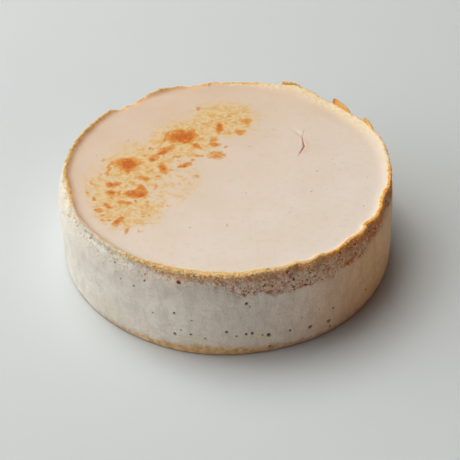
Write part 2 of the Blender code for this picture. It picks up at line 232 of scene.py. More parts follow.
# Scorch marks
SCORCH_MARKS = table(
    "x mm, y mm, half length mm, half width mm, turn of the long axis, strength",
    (-20.5, 24, 5.5, 4.2, 10, 1.0), (-17.2, 24, 4.5, 2.2, 80, 0.95), (-15.8, 29, 2, 1.0, 90, 0.6),
    (-24.8, 23.5, 3.8, 2.2, 90, 0.85), (-28, 23.8, 4.2, 1.2, 75, 0.6), (-22, 28.8, 3, 1.2, 0.0, 0.7),
    (-19.5, 20, 1.8, 1.5, 0.0, 0.8), (-24.5, 20.5, 1.6, 1.2, 0.0, 0.75), (-44, 2.4, 4.6, 4.3, 0.0, 1.0),
    (-43.5, -2.2, 2, 1.6, 90, 0.8), (-47.5, 4.5, 2.5, 2.2, 0.0, 0.7), (-38.8, 3, 1.6, 1.5, 0.0, 0.5),
    (-50.3, 4, 2.4, 1.0, 60, 0.5), (-52, -0.5, 2.8, 0.9, 80, 0.5), (-52.2, -4.5, 2, 0.9, 90, 0.45),
    (-38.5, -18.7, 4.8, 2.5, 0.0, 0.9), (-36.8, -14.8, 2, 1.5, 90, 0.75),
    (-36, -20.3, 1.8, 1.2, 0.0, 1.0), (-42, -19, 1.6, 1.4, 0.0, 0.75), (-29.2, 10.8, 2.6, 1.0, 25, 1.05),
    (-33.3, 5.6, 1.8, 1.1, 0.0, 1.0), (-27.5, 13.5, 4.5, 2, 40, 0.6), (-32, 8.2, 2, 1.5, 0.0, 0.5),
    (-3.6, 31.5, 4.2, 1.4, 90, 0.8), (8.8, 37, 2.5, 2, 0.0, 0.45), (5.9, 28.2, 1.9, 1.5, 0.0, 0.65),
    (6.2, 26, 1.5, 1.2, 0.0, 0.45), (-5.6, 17.6, 2.3, 1.3, 0.0, 0.75), (-6.4, 21.5, 2.5, 1.8, 90, 0.4),
    (-13.8, 16.4, 2.6, 1.5, -50, 0.75), (-4.6, 9.3, 3.6, 2.8, 0.0, 0.45), (-18.8, 1.4, 3, 1.3, 30, 0.75),
    (-28.3, -0.8, 4, 1.4, -75, 0.75), (-36.2, -7.8, 2.4, 1.3, -20, 0.8), (-50, -12.7, 1.8, 1.5, 0.0, 0.8),
    (-47.3, -12, 1.9, 1.4, 0.0, 0.7), (-49.3, -17.9, 1.9, 1.6, 0.0, 0.85),
    (-48.5, -21, 1.5, 1.0, 90, 0.45), (-45.9, -18.5, 1.5, 0.8, 90, 0.65),
    (-44.6, -24.8, 1.3, 1.2, 0.0, 0.7), (-41.7, -25.3, 1.7, 1.1, 0.0, 0.7),
    (-49.8, -27.2, 2.2, 1.0, -50, 0.75), (-52.7, -30.2, 1.8, 1.5, 0.0, 0.55),
    (-51.3, -33.5, 1.3, 1.0, 0.0, 0.4), (-44.5, -37.3, 2, 1.6, 45, 0.7),
    (-43.4, -35.2, 1.5, 0.8, 0.0, 0.6), (-46, -39.5, 1.5, 0.6, -45, 0.5), (-37, 8.6, 1.0, 0.8, 0.0, 0.5),
    (-13.2, 8.8, 2, 1.0, 0.0, 0.5), (-23, 8, 1.6, 1.2, 0.0, 0.4), (-21.6, 5.2, 1.2, 0.9, 0.0, 0.35),
    (-34.5, 14.3, 1.6, 1.0, 0.0, 0.35), (-15, 5.2, 1.2, 0.9, 0.0, 0.35), (-0.5, 15.9, 1.0, 1.0, 0.0, 0.4),
    (0.9, 41.3, 1.5, 1.0, 0.0, 0.45), (-3.6, 39.3, 1.2, 0.9, 0.0, 0.3), (3, 35.9, 1.5, 1.0, 0.0, 0.35),
    (-9.1, 33.8, 2, 1.0, 90, 0.3), (0.2, 27.2, 1.2, 0.9, 0.0, 0.35), (-11.8, 22.2, 1.3, 1.0, 0.0, 0.4),
    (-5, 23.6, 0.8, 0.8, 0.0, 0.35), (-13.9, 47.9, 1.6, 0.8, 90, 0.5), (-6.4, 37, 1.2, 0.9, 0.0, 0.3),
    (-41.1, -11, 1.6, 1.3, 0.0, 0.35), (-33.1, -2.8, 1.2, 0.9, 0.0, 0.35),
    (-24.7, -1.9, 1.2, 0.9, 0.0, 0.4), (-30, -6, 1.2, 0.9, 0.0, 0.4), (-30.6, -14.2, 2, 0.8, 90, 0.35),
    (-38.4, -23.7, 0.8, 0.8, 0.0, 0.5), (-33.4, -24.2, 0.8, 0.8, 0.0, 0.4),
    (-32.9, -26.5, 1.0, 0.8, 0.0, 0.3), (-29.3, -22.8, 1.2, 0.9, 0.0, 0.25),
    (-24.7, -26.9, 1.2, 0.9, 0.0, 0.2), (-13.8, -6.4, 2, 1.5, 0.0, 0.25),
    (-40.6, -43.7, 1.6, 0.8, 90, 0.35), (-34.3, -43.2, 1.2, 0.9, 0.0, 0.3),
    (-33.8, -34.2, 1.2, 0.9, 0.0, 0.25), (-49.3, -36.9, 2.6, 1.0, 0.0, 0.3),
    (10.5, 16.1, 1.4, 1.0, 0.0, 0.15), (21.4, 30.2, 1.4, 1.0, 0.0, 0.15),
    (-2.7, 0.6, 1.4, 1.0, 0.0, 0.15), (-55.2, 5.8, 1.2, 1.0, 0.0, 0.35), (-55.2, -6, 2, 0.8, 90, 0.3),
    (-55.8, -22.7, 1.8, 0.6, -60, 0.6), (-59.5, -18, 2.8, 0.5, -75, 0.35),
    (-58.3, -11.3, 2.2, 0.5, -75, 0.3), (-0.4, -40.1, 1.4, 0.4, 20, 0.3), (8.2, -19, 0.7, 0.4, 70, 0.22),
)
SCORCH_WARP = 0.0008
SCORCH_WARP_SIZE = 0.0026
SCORCH_SOFTNESS = (0.35, 1.70)
SCORCH_FAINTEST = 0.02
SCORCH_ZONE_RADIUS = 0.067
TOAST_SOFTNESS = (0.35, 1.35)
BLISTER_HEIGHT = 0.00012

# Relief that is finer than the solid's
PORE_CELL = 0.0021
PORE_DEPTH = 0.00055
PORE_REACH = 0.30
PORE_SHARE = 0.55
FINE_GRAIN = 0.00024
FINE_GRAIN_SIZE = 0.0012
CREST_CRUMBLE = 0.00026
CREST_CRUMBLE_SIZE = 0.0019
CREST_CRUMBLE_FINE = 0.00014
CREST_REACH = 0.0020
BELOW_CREST = (-0.0035, -0.0005)
STREAK_DEPTH = 0.00020
STREAK_WIDTH = 0.0021
STREAK_LENGTH = 0.013
STREAKS_IN = (-150.0, -125.0)
STREAKS_OUT = (-88.0, -80.0)
STREAK_START = (0.024, 0.037)
STREAK_TOP = (0.0365, 0.0390)
SKIN_WAVE = 0.00007
SKIN_WAVE_SIZE = 0.006
TOP_WAVE = 0.00004
TOP_WAVE_SIZE = 0.005

# Stretches of the cake's rim and wall that differ in colour: first angle, last angle, fade at both ends
BACK_LEFT = (94.0, 200.0, 14.0)
BACK_LEFT_INSIDE = (188.0, 224.0, 16.0)
RIGHT = (-68.0, 94.0, 16.0)
FRONT = (-122.0, -68.0, 26.0)
FRONT_LEFT = (-165.0, -132.0, 20.0)
BEHIND_RIGHT = (-2.0, 94.0, 16.0)
DEEP_GOLD = (-58.0, 94.0, 26.0)
RUSTY = (74.0, 200.0, 12.0)
RUSTY_LEFT = (200.0, 216.0, 14.0)
TAN_FRONT = (-116.0, -68.0, 24.0)
# Where warm reflected light from the table is painted on the wall, and where it is painted weaker
PAINTED_BOUNCE_WALL = (-58.0, 80.0, 46.0)
PAINTED_BOUNCE_WALL_WEAK = (-8.0, 80.0, 30.0)
CLOUDY_PATCHES = (-62.0, 95.0, 20.0)
LOW_CRUMBS = (-150.0, -74.0, 24.0)

# Where colours fade in or out: softness in shares of a spot's size, lengths in metres, angles in degrees
PATCH_SOFTNESS = (0.60, 1.50)
BURNT_SOFTNESS = (0.30, 1.30)
RIM_EDGE_NOISE = 0.0004
RIM_EDGE_NOISE_SIZE = 0.0030
PALE_CLOUD_SIZE = 0.0060
PATCH_CLOUD_SIZE = 0.0048
LOW_CRUMB_CLOUD_SIZE = 0.0065
LOW_CRUMB_HEIGHT = 0.0095
LOW_CRUMB_REACH = 0.0040
TORN_COLOUR_IN = (-108.0, -76.0)
TORN_COLOUR_OUT = (100.0, 128.0)
TORN_COLOUR_EDGE = (-0.0012, 0.0014)
WARMTH_REACH = (-0.055, 0.060)
# Dark line at the very bottom of the wall: browned edge with painted contact shadow
TOE_BROWNING_AND_SHADE = (0.0003, 0.0011)
# Duller brown foot: painted shade with reflected brown light on the right side; on the left only a little
# duller browning
FOOT_RIGHT = (-84.0, -58.0)
FOOT_LEFT = -120.0
FOOT_HEIGHT = 0.0032
FOOT_RISE = 0.0034
FOOT_WAVE = 0.0008
FOOT_WAVE_SIZE = 0.012
# Tint that paints the warm reflected light on the right of the wall
PAINTED_BOUNCE_TINT = (1.0, 0.70, 0.40, 1.0)

# The seed also fixes noise_vector, which would otherwise differ from run to run
SEED = 11
noise.seed_set(SEED)

# How far red, green and blue light scatter inside the filling, next to each other
SCATTER_COLOURS = (1.0, 0.55, 0.35)

# Places of the colour sockets of a Mix node
MIX_FIRST = 6
MIX_SECOND = 7
MIX_RESULT = 2

# Camera, from the plate's and the cake's outlines in the photograph
CAMERA_PLACE = (0.00122, -0.32045, 0.27373)
CAMERA_ELEVATION = 40.16
CAMERA_LENS = 70.435
CAMERA_SENSOR = 36.0

# A wide soft window behind on the left, made of six lamps, and a little warm light from the right:
# azimuth, elevation, distance, watts, size, colour
SUNLIT = (1.0, 0.99, 0.93)
COOL = (0.97, 0.98, 1.0)
WARM = (1.0, 0.35, 0.10)
LAMPS = (
    (120.0, 65.0, 2.0, 14.5, 1.12, SUNLIT),
    (150.0, 65.0, 2.0, 9.0, 1.12, SUNLIT),
    (150.0, 42.0, 2.0, 7.3, 1.12, SUNLIT),
    (180.0, 42.0, 2.0, 5.5, 1.12, SUNLIT),
    (180.0, 20.0, 2.0, 7.4, 1.12, COOL),
    (210.0, 20.0, 2.0, 8.2, 1.12, COOL),
    (-40.0, 17.0, 7.0, 27.0, 1.60, WARM),
)

# Even light from all round: the fill above the horizon, and the pale ground below it
FILL_LEVEL = 0.055
FILL_COLOUR = (1.0, 0.92, 0.84, 1.0)
GROUND_LEVEL = 0.30
GROUND_COLOUR = (0.97, 0.98, 1.0, 1.0)
GROUND_FADE = 0.10
FLOOR_RADIUS = 1.3
FLOOR_CORNERS = 96


def srgb(red, green, blue):
    """Linear colour of an sRGB triple from 0 to 255."""
    channels = [channel / 255.0 for channel in (red, green, blue)]
    return (*[c / 12.92 if c <= 0.04045 else ((c + 0.055) / 1.055) ** 2.4 for c in channels], 1.0)


def smooth_step(low, high, value):
    share = min(max((value - low) / (high - low), 0.0), 1.0)
    return share * share * (3.0 - 2.0 * share)


def smooth_steps(low, high, values):
    """smooth_step for a whole array."""
    share = np.clip((values - low) / (high - low), 0.0, 1.0)
    return share * share * (3.0 - 2.0 * share)


def angle_between(angle, other):
    return (angle - other + 180.0) % 360.0 - 180.0


def swell(angle, centre, half_width):
    """1 at the centre angle, falling away smoothly on both sides."""
    return math.exp(-((angle_between(angle, centre) / half_width) ** 2))


def swells(angles, centre, half_width):
    """swell for a whole array."""
    return np.exp(-((angle_between(angles, centre) / half_width) ** 2))


def around(angle, radius, height):
    turn = math.radians(angle)
    return Vector((radius * math.cos(turn), radius * math.sin(turn), height))


def roughness_at(angle, radius, height, size):
    """Even noise from -1 to 1, whose bumps are about as wide as size."""
    return noise.noise(around(angle, radius, height) / size)


def left_share(angle):
    away = abs(angle_between(angle, LEFT_SIDE_ANGLE))
    return 1.0 - smooth_step(LEFT_SIDE_FULL, LEFT_SIDE_END, away)


def band_floor(angle):
    """Height of the torn band's scalloped lower edge."""
    turned = angle_between(angle, 0.0)
    if BAND_EDGE[0][0] <= turned <= BAND_EDGE[-1][0]:
        ragged = BAND_EDGE_NOISE * roughness_at(angle, BASE_RADIUS, 0.0, BAND_EDGE_NOISE_SIZE)
        return float(np.interp(turned, *zip(*BAND_EDGE))) + ragged
    since_start = (angle - BAND_FROM) % 360.0
    to_end = BAND_TO - BAND_FROM - since_start
    wide = smooth_step(0.0, BAND_START_FADE, since_start) * smooth_step(0.0, BAND_FADE, to_end)
    scallop = BAND_SCALLOP * (0.4 + 0.6 * wide) * roughness_at(angle, BASE_RADIUS, 0.0, BAND_SCALLOP_SIZE)
    return BAND_FLOOR_LEFT + wide * (BAND_FLOOR - BAND_FLOOR_LEFT) + scallop


def clean_wall_radius(angle, height):
    lean = RIGHT_LEAN * (height / RIM_HEIGHT) ** RIGHT_LEAN_POWER
    over_shoulder = max(0.0, (height - LEFT_SHOULDER_START) / (RIM_HEIGHT - LEFT_SHOULDER_START))
    shoulder = LEFT_SHOULDER_DROP * over_shoulder**LEFT_SHOULDER_POWER
    left = left_share(angle)
    wave = OUTLINE_WAVE * roughness_at(angle, BASE_RADIUS, height / 2, OUTLINE_WAVE_SIZE)
    return BASE_RADIUS - left * shoulder - (1.0 - left) * lean + wave


def wall_radius(angle, height):
    """The wall with its torn band cut back and roughened, and the crumbly shoulder of the left side."""
    floor = band_floor(angle)
    torn = smooth_step(floor + BAND_LEDGE[0], floor + BAND_LEDGE[1], height)
    crumbly = left_share(angle) * smooth_step(LEFT_SHOULDER_START, RIM_HEIGHT, height)
    grain = roughness_at(angle, BASE_RADIUS, height, GRAIN_SIZE)
    relief = grain * (torn * BAND_ROUGHNESS + crumbly * SHOULDER_ROUGHNESS)
    return clean_wall_radius(angle, height) - torn * BAND_DEPTH + relief


def rim_crest(angle):
    """Radius and height of the rim's highest line at one angle."""
    radius = RIM_RADIUS + CREST_WAVE * roughness_at(angle, RIM_RADIUS, CREST_RADIUS_LAYER, CREST_WAVE_SIZE)
    height = RIM_HEIGHT + CREST_WAVE * roughness_at(angle, RIM_RADIUS, CREST_HEIGHT_LAYER, CREST_WAVE_SIZE)
    for centre, half_width, lift, shift in RIM_FEATURES:
        share = swell(angle, centre, half_width)
        radius += share * shift
        height += share * lift
    return radius, height


def slope_width(angle):
    """Steep inside the left rim, and a gentle slope behind on the right."""
    return STEEP_SLOPE + GENTLE_SLOPE * swell(angle, GENTLE_SLOPE_ANGLE, GENTLE_SLOPE_SPREAD)


def filling_height(x, y):
    return FILLING_HEIGHT + FILLING_WAVE * noise.noise(Vector((x, y, FILLING_LAYER)) / FILLING_WAVE_SIZE)


def top_point(angle, radius):
    """A point of the slope inside the rim or of the filling."""
    crest_radius, crest_height = rim_crest(angle)
    spot = around(angle, radius, 0.0)
    low = filling_height(spot.x, spot.y)
    step = max(0.0, crest_radius - CREST_ROUND / 2 - radius) / slope_width(angle)
    spot.z = low + (crest_height - low) * math.exp(-SLOPE_FALL * step**SLOPE_POWER)
    return spot


def wall_point(angle, height):
    """A point of the wall, stretched or squeezed near the top to end just under the crest."""
    crest_radius, crest_height = rim_crest(angle)
    lift = (crest_height - CREST_ROUND) / RIM_HEIGHT - 1.0
    left = left_share(angle)
    break_start = left * BREAK_START_LEFT + (1.0 - left) * BREAK_START
    broken_back = smooth_step(break_start, RIM_HEIGHT, height) * max(0.0, RIM_RADIUS - crest_radius)
    level = height * (1.0 + lift * smooth_step(BAND_FLOOR, RIM_HEIGHT, height))
    return around(angle, wall_radius(angle, height) - broken_back, level)


def toe_point(angle, turn):
    """A point of the rounded edge between the underside and the wall."""
    inset = TOE_INSET * (1.0 - math.sin(turn))
    return around(angle, clean_wall_radius(angle, 0.0) - inset, TOE_HEIGHT * (1.0 - math.cos(turn)))


def crest_point(angle, turn):
    """A point of the rounded crest, from its outer side to its top."""
    crest_radius, crest_height = rim_crest(angle)
    half_round = CREST_ROUND / 2
    over = math.radians(turn)
    return around(
        angle,
        crest_radius - half_round + 2 * half_round * math.cos(over),
        crest_height - 2 * half_round * (1.0 - math.sin(over)),
    )


def turns(count):
    return [360.0 * index / count for index in range(count)]


def body_rings():
    """Rings of points from the middle of the underside, up the wall and over the crest, to the middle."""
    rings = []

    def add_ring(columns, place, *where):
        rings.append([place(angle, *where) for angle in turns(columns)])

    for radius, columns in UNDERSIDE_RINGS:
        add_ring(columns, around, radius, 0.0)
    for step in range(TOE_STEPS + 1):
        add_ring(LOWER_COLUMNS, toe_point, math.pi / 2 * step / TOE_STEPS)
    for row in range(1, LOWER_ROWS + 1):
        add_ring(LOWER_COLUMNS, wall_point, TOE_HEIGHT + (SEAM_HEIGHT - TOE_HEIGHT) * row / LOWER_ROWS)
    for row in range(1, BAND_ROWS + 1):
        add_ring(BAND_COLUMNS, wall_point, SEAM_HEIGHT + (WALL_TOP - SEAM_HEIGHT) * row / BAND_ROWS)
    for turn in CREST_TURNS:
        add_ring(BAND_COLUMNS, crest_point, turn)
    edge = {angle: rim_crest(angle)[0] - CREST_ROUND / 2 for angle in turns(BAND_COLUMNS)}
    width = {angle: slope_width(angle) for angle in turns(BAND_COLUMNS)}
    for step in FINE_SLOPE_STEPS:
        rings.append([top_point(a, edge[a] - step * width[a]) for a in turns(BAND_COLUMNS)])
    for step in SLOPE_STEPS:
        rings.append([top_point(a, edge[a] - step * width[a]) for a in turns(LOWER_COLUMNS)])
    for row in range(1, INNER_SLOPE_ROWS + 1):
        share = row / INNER_SLOPE_ROWS
        ring = []
        for angle in turns(LOWER_COLUMNS):
            outer = edge[angle] - SLOPE_STEPS[-1] * width[angle]
            ring.append(top_point(angle, outer + (INNER_SLOPE_RADIUS - outer) * share))
        rings.append(ring)
    for first, last, count, columns in RING_RUNS:
        for radius in np.linspace(first, last, count):
            add_ring(columns, top_point, float(radius))
    return rings


def join_rings(body, first, second):
    """Faces between two rings of corners, one of which may have twice as many as the other."""
    if len(first) < len(second):
        first, second = second, first
    ratio = len(first) // len(second)
    for index, corner in enumerate(second):
        following = second[(index + 1) % len(second)]
        steps = [first[(index * ratio + step) % len(first)] for step in range(ratio + 1)]
        body.faces.new((steps[0], steps[1], corner))
        body.faces.new((steps[1], following, corner))
        if ratio == 2:
            body.faces.new((steps[1], steps[2], following))


def close_centre(body, ring):
    """A fan of faces that closes the middle of a ring."""
    centre = body.verts.new(sum((corner.co for corner in ring), Vector()) / len(ring))
    for index, corner in enumerate(ring):
        body.faces.new((corner, ring[(index + 1) % len(ring)], centre))


def distance_to_crack(points):
    """For each point: its distance from the crack's line, the line's half width there, and its side."""
    nearest = np.full(len(points), 1.0)
    width = np.full(len(points), 1e-5)
    side = np.zeros(len(points))
    for (x0, y0, w0), (x1, y1, w1) in zip(CRACK, CRACK[1:]):
        along = np.array((x1 - x0, y1 - y0))
        away = points[:, :2] - np.array((x0, y0))
        share = np.clip(away @ along / (along @ along), 0.0, 1.0)
        gap = away - share[:, None] * along
        distance = np.hypot(gap[:, 0], gap[:, 1])
        closer = distance < nearest
        nearest[closer] = distance[closer]
        width[closer] = (w0 + (w1 - w0) * share)[closer]
        side[closer] = np.sign(gap[:, 0])[closer]
    return nearest, width, side


def bubble_centres():
    """The middle and the width of each open bubble in the wall."""
    return [
        (around(angle, wall_radius(angle, height), height), width)
        for angle, height, width in WALL_BUBBLES
    ]


def pinhole_centres():
    """The middle and the width of each pinhole in the filling."""
    return [(Vector((x, y, filling_height(x, y))), width) for x, y, width in PINHOLES]


def ellipse_distance(points, x, y, length, width, turn):
    """0 at the middle of an ellipse and 1 on its edge."""
    cosine, sine = math.cos(math.radians(turn)), math.sin(math.radians(turn))
    dx, dy = points[:, 0] - x, points[:, 1] - y
    return np.hypot((dx * cosine + dy * sine) / length, (dy * cosine - dx * sine) / width)


def spots_field(points, spots, edge, distance_to):
    """The strongest of many soft spots at each point: a row holds a spot's place and its strength."""
    field = np.zeros(len(points))
    for *place, strength in spots:
        field = np.maximum(field, strength * (1.0 - smooth_steps(*edge, distance_to(points, *place))))
    return field


def noise_field(points, size, shift=0.0):
    """Even noise from -1 to 1 at each point, with bumps about as wide as size."""
    return np.array([noise.noise(Vector(point)) for point in points / size + shift])


def scorch_field(points):
    """0 on clean filling, about 1 in the middle of a dark scorch mark."""
    warped = points.copy()
    warped[:, 0] += SCORCH_WARP * noise_field(points, SCORCH_WARP_SIZE, 3.0)
    warped[:, 1] += SCORCH_WARP * noise_field(points, SCORCH_WARP_SIZE, 9.0)
    return spots_field(warped, SCORCH_MARKS, SCORCH_SOFTNESS, ellipse_distance)


def refine(body, wanted):
    """Splits in four the faces whose middles the function picks out."""
    centres = np.array([face.calc_center_median() for face in body.faces])
    picked = wanted(centres)
    edges = dict.fromkeys(edge for face, take in zip(body.faces, picked) if take for edge in face.edges)
    bmesh.ops.subdivide_edges(body, edges=list(edges), cuts=1)
    bmesh.ops.triangulate(body, faces=body.faces)


def near_features(centres, reach):
    """True for points close to the crack, a pinhole or a bubble."""
    near = distance_to_crack(centres)[0] < reach + CRACK_LIP_REACH
    near &= centres[:, 2] > FILLING_HEIGHT / 2
    for centre, width in bubble_centres() + pinhole_centres():
        near |= np.linalg.norm(centres - np.array(centre), axis=1) < reach / 2 + width
    return near


def in_scorch_zone(centres):
    """True for points of the filling on or beside a scorch mark."""
    zone = centres[:, 2] > FILLING_HEIGHT - 0.001
    zone &= np.hypot(centres[:, 0], centres[:, 1]) < SCORCH_ZONE_RADIUS
    zone[zone] = scorch_field(centres[zone]) > SCORCH_FAINTEST
    return zone


def cake_mesh():
    """The whole body as a fine closed mesh with the solid's form."""
    body = bmesh.new()
    rings = [[body.verts.new(spot) for spot in ring] for ring in body_rings()]
    for first, second in zip(rings, rings[1:]):
        join_rings(body, first, second)
    close_centre(body, rings[0])
    close_centre(body, rings[-1])
    bmesh.ops.recalc_face_normals(body, faces=body.faces)
    refine(body, lambda centres: in_scorch_zone(centres) | near_features(centres, 2 * REFINE_REACH))
    refine(body, lambda centres: near_features(centres, REFINE_REACH))
    mesh = bpy.data.meshes.new("cake_body")
    body.to_mesh(mesh)
    body.free()
    return mesh


def read(mesh, name):
    values = np.zeros(len(mesh.vertices) * 3, np.float32)
    mesh.vertices.foreach_get(name, values)
    return values.reshape(-1, 3).astype(float)


class Places:
    """Where each corner of the cake's mesh lies, and what the main form is at its angle."""

    def __init__(self, points):
        self.points = points
        self.angle = np.degrees(np.arctan2(points[:, 1], points[:, 0]))
        self.radius = np.hypot(points[:, 0], points[:, 1])
        self.height = points[:, 2]
        known = turns(BAND_COLUMNS)
        crests = [rim_crest(angle) for angle in known]
        self.crest_radius = self.looked_up(known, [radius for radius, _ in crests])
        self.crest_height = self.looked_up(known, [height for _, height in crests])
        self.floor = self.looked_up(known, [band_floor(angle) for angle in known])
        self.left = self.looked_up(known, [left_share(angle) for angle in known])
        self.slope = self.looked_up(known, [slope_width(angle) for angle in known])
        self.inward = self.crest_radius - self.radius
        self.on_wall = 1.0 - smooth_steps(-0.0002, 0.0003, self.inward)
        self.on_wall *= (self.height > 0.0001).astype(float)
        self.torn = self.on_wall * smooth_steps(-0.0002, 0.0005, self.height - self.floor)

    def looked_up(self, known, values):
        return np.interp(self.angle, known, values, period=360.0)


def pore_field(points, torn):
    """1 in the middle of a pore, 0 outside; only some of the cells of the torn band have one."""
    field = np.zeros(len(points))
    for index in np.flatnonzero(torn > 0.01):
        distances, centres = noise.voronoi(Vector(points[index] / PORE_CELL))
        if noise.cell(centres[0] * 7.3) < PORE_SHARE:
            field[index] = max(0.0, 1.0 - (distances[0] / PORE_REACH) ** 2)
    return field


def pit_field(points):
    """How deep each point is sunk in a bubble or a pinhole, and how much shade is painted in it there."""
    depth = np.zeros(len(points))
    dark = np.zeros(len(points))
    uneven = 1.0 + PIT_UNEVENNESS * noise_field(points, PIT_NOISE_SIZE, 7.0)
    for centres, share in ((bubble_centres(), BUBBLE_DEPTH), (pinhole_centres(), PINHOLE_DEPTH)):
        for centre, width in centres:
            distance = np.linalg.norm(points - np.array(centre), axis=1) / (width / 2) * uneven
            bowl = 1.0 - smooth_steps(0.35, 1.15, distance)
            depth = np.maximum(depth, bowl * width * share)
            # Painted shade in the hollow, stronger for wider holes
            strength = min(1.0, 0.35 + 0.55 * width / 0.001)
            dark = np.maximum(dark, strength * (1.0 - smooth_steps(0.50, 1.30, distance)))
    return depth, dark


def crack_field(points):
    """Height change of the filling by the crack, and how dark it is in it."""
    on_top = points[:, 2] > FILLING_HEIGHT / 2
    distance, width, side = distance_to_crack(points)
    opening = width / max(half_width for _, _, half_width in CRACK)
    cut = np.clip(1.0 - distance / (width * 1.25 + 0.00012), 0.0, 1.0)
    lip = np.exp(-(((distance - width * 1.6) / CRACK_LIP_REACH) ** 2)) * np.where(side > 0, 1.0, 0.35)
    near_line = np.clip(opening * 1.4, 0.0, 1.0)
    change = on_top * (lip * CRACK_LIP * near_line - cut * CRACK_DEPTH * opening)
    dark = 1.0 - smooth_steps(0.3, 1.0, distance / (width + 0.00022))
    return change, on_top * dark * np.clip(0.40 + 0.8 * opening, 0.0, 1.0)


def dent_field(points):
    """Depth of the shallow dents in the filling."""
    depth = np.zeros(len(points))
    for x, y, length, width, turn, deep in DENTS:
        depth += deep * (1.0 - smooth_steps(0.0, 1.5, ellipse_distance(points, x, y, length, width, turn)))
    return depth * (points[:, 2] > FILLING_HEIGHT / 2)


def write_field(mesh, name, values):
    layer = mesh.attributes.new(name, "FLOAT", "POINT")
    layer.data.foreach_set("value", values.astype(np.float32))


def shape_and_tone(mesh):
    """Adds the fine relief to the body and writes the fields that its material reads."""
    points = read(mesh, "co")
    normals = read(mesh, "normal")
    at = Places(points)
    inside = 1.0 - at.on_wall
    on_top = inside * (at.height > FILLING_HEIGHT / 2)
    scorch = scorch_field(points) * on_top
    toast = spots_field(points, TOAST_PATCHES, TOAST_SOFTNESS, ellipse_distance) * on_top
    pores = pore_field(points, at.torn) * at.torn
    fine = noise_field(points, FINE_GRAIN_SIZE, 5.0)
    crumble = noise_field(points, CREST_CRUMBLE_SIZE, 17.0)
    near_crest = np.exp(-((at.inward / CREST_REACH) ** 2))
    near_crest *= smooth_steps(*BELOW_CREST, at.height - at.crest_height)
    shoulder = at.left * at.on_wall * smooth_steps(LEFT_SHOULDER_START, RIM_HEIGHT, at.height)
    front_left = smooth_steps(*STREAKS_IN, at.angle) * (1.0 - smooth_steps(*STREAKS_OUT, at.angle))
    arc = points.copy()
    arc[:, 2] *= STREAK_WIDTH / STREAK_LENGTH
    streaks = noise_field(arc, STREAK_WIDTH, 2.0)
    under_rim = at.on_wall * front_left * smooth_steps(*STREAK_START, at.height)
    relief = -PORE_DEPTH * pores
    low = low_crumb_field(at)
    relief += FINE_GRAIN * fine * (at.torn + 0.9 * shoulder + 0.35 * low)
    relief += CREST_CRUMBLE_FINE * fine * near_crest
    relief += CREST_CRUMBLE * crumble * near_crest * (0.45 + 0.55 * swells(at.angle, -95.0, 55.0))
    relief += STREAK_DEPTH * streaks * under_rim
    relief += SKIN_WAVE * noise_field(points, SKIN_WAVE_SIZE, 31.0) * at.on_wall * (at.height > TOE_HEIGHT)
    relief += TOP_WAVE * noise_field(points, TOP_WAVE_SIZE, 41.0) * on_top
    relief += BLISTER_HEIGHT * scorch * (0.6 + 0.4 * fine)
    # Depth of the pits, and the shade painted in them
    sunk, dark = pit_field(points)
    crack_change, crack_dark = crack_field(points)
    relief += crack_change - sunk - dent_field(points)
    relief[at.height < TOE_HEIGHT / 2] = 0.0
    moved = points + normals * relief[:, None]
    mesh.vertices.foreach_set("co", moved.astype(np.float32).ravel())

    patchy = np.clip(0.55 + 0.9 * noise_field(points, PALE_CLOUD_SIZE, 91.0), 0.0, 1.0)
    # Painted warm reflected light from the table on the right of the wall, weaker towards the back
    painted_warm_bounce = stretch(at.angle, *PAINTED_BOUNCE_WALL) * (1.0 - 0.45 * stretch(at.angle, *PAINTED_BOUNCE_WALL_WEAK))
    fields = {
        "scorch": scorch,
        "toast": toast,
        "wall": at.on_wall,
        "torn": at.torn,
        # Pores, with shade painted in them
        "pores": np.maximum(pores, 0.0),
        # Painted shade in bubbles and pinholes
        "dark": dark,
        "crack": crack_dark,
        "warmth": smooth_steps(*WARMTH_REACH, 0.75 * points[:, 1] - 0.65 * points[:, 0]),
        "low_crumbs": low,
        # Painted warm reflected light on the right of the wall
        "painted_warm_bounce": at.on_wall * painted_warm_bounce,
        "patch": patch_field(at),
        "burnt": burnt_field(at),
        "torn_colour": torn_colour_field(at),
        "foot": foot_field(at),
        # Browned bottom edge with painted contact shadow
        "toe": at.on_wall * (1.0 - smooth_steps(*TOE_BROWNING_AND_SHADE, at.height)),
        "pale": shoulder * patchy,
        # Painted shade and reflected brown light at the foot on the right; a little duller browning on the
        # left
        "foot_right": smooth_steps(*FOOT_RIGHT, at.angle) + (at.angle < FOOT_LEFT) * 0.35,
        "streak": under_rim * (0.5 + 0.5 * streaks) * (1.0 - smooth_steps(*STREAK_TOP, at.height)),
    }
    for name, values in (fields | rim_fields(at)).items():
        write_field(mesh, name, values)


def stretch(angles, first, last, fade):
    """1 between two angles, falling smoothly to 0 over fade degrees at both ends."""
    away = np.abs(angle_between(angles, (first + last) / 2))
    half = (last - first) / 2
    return 1.0 - smooth_steps(half - fade / 2, half + fade / 2, away)


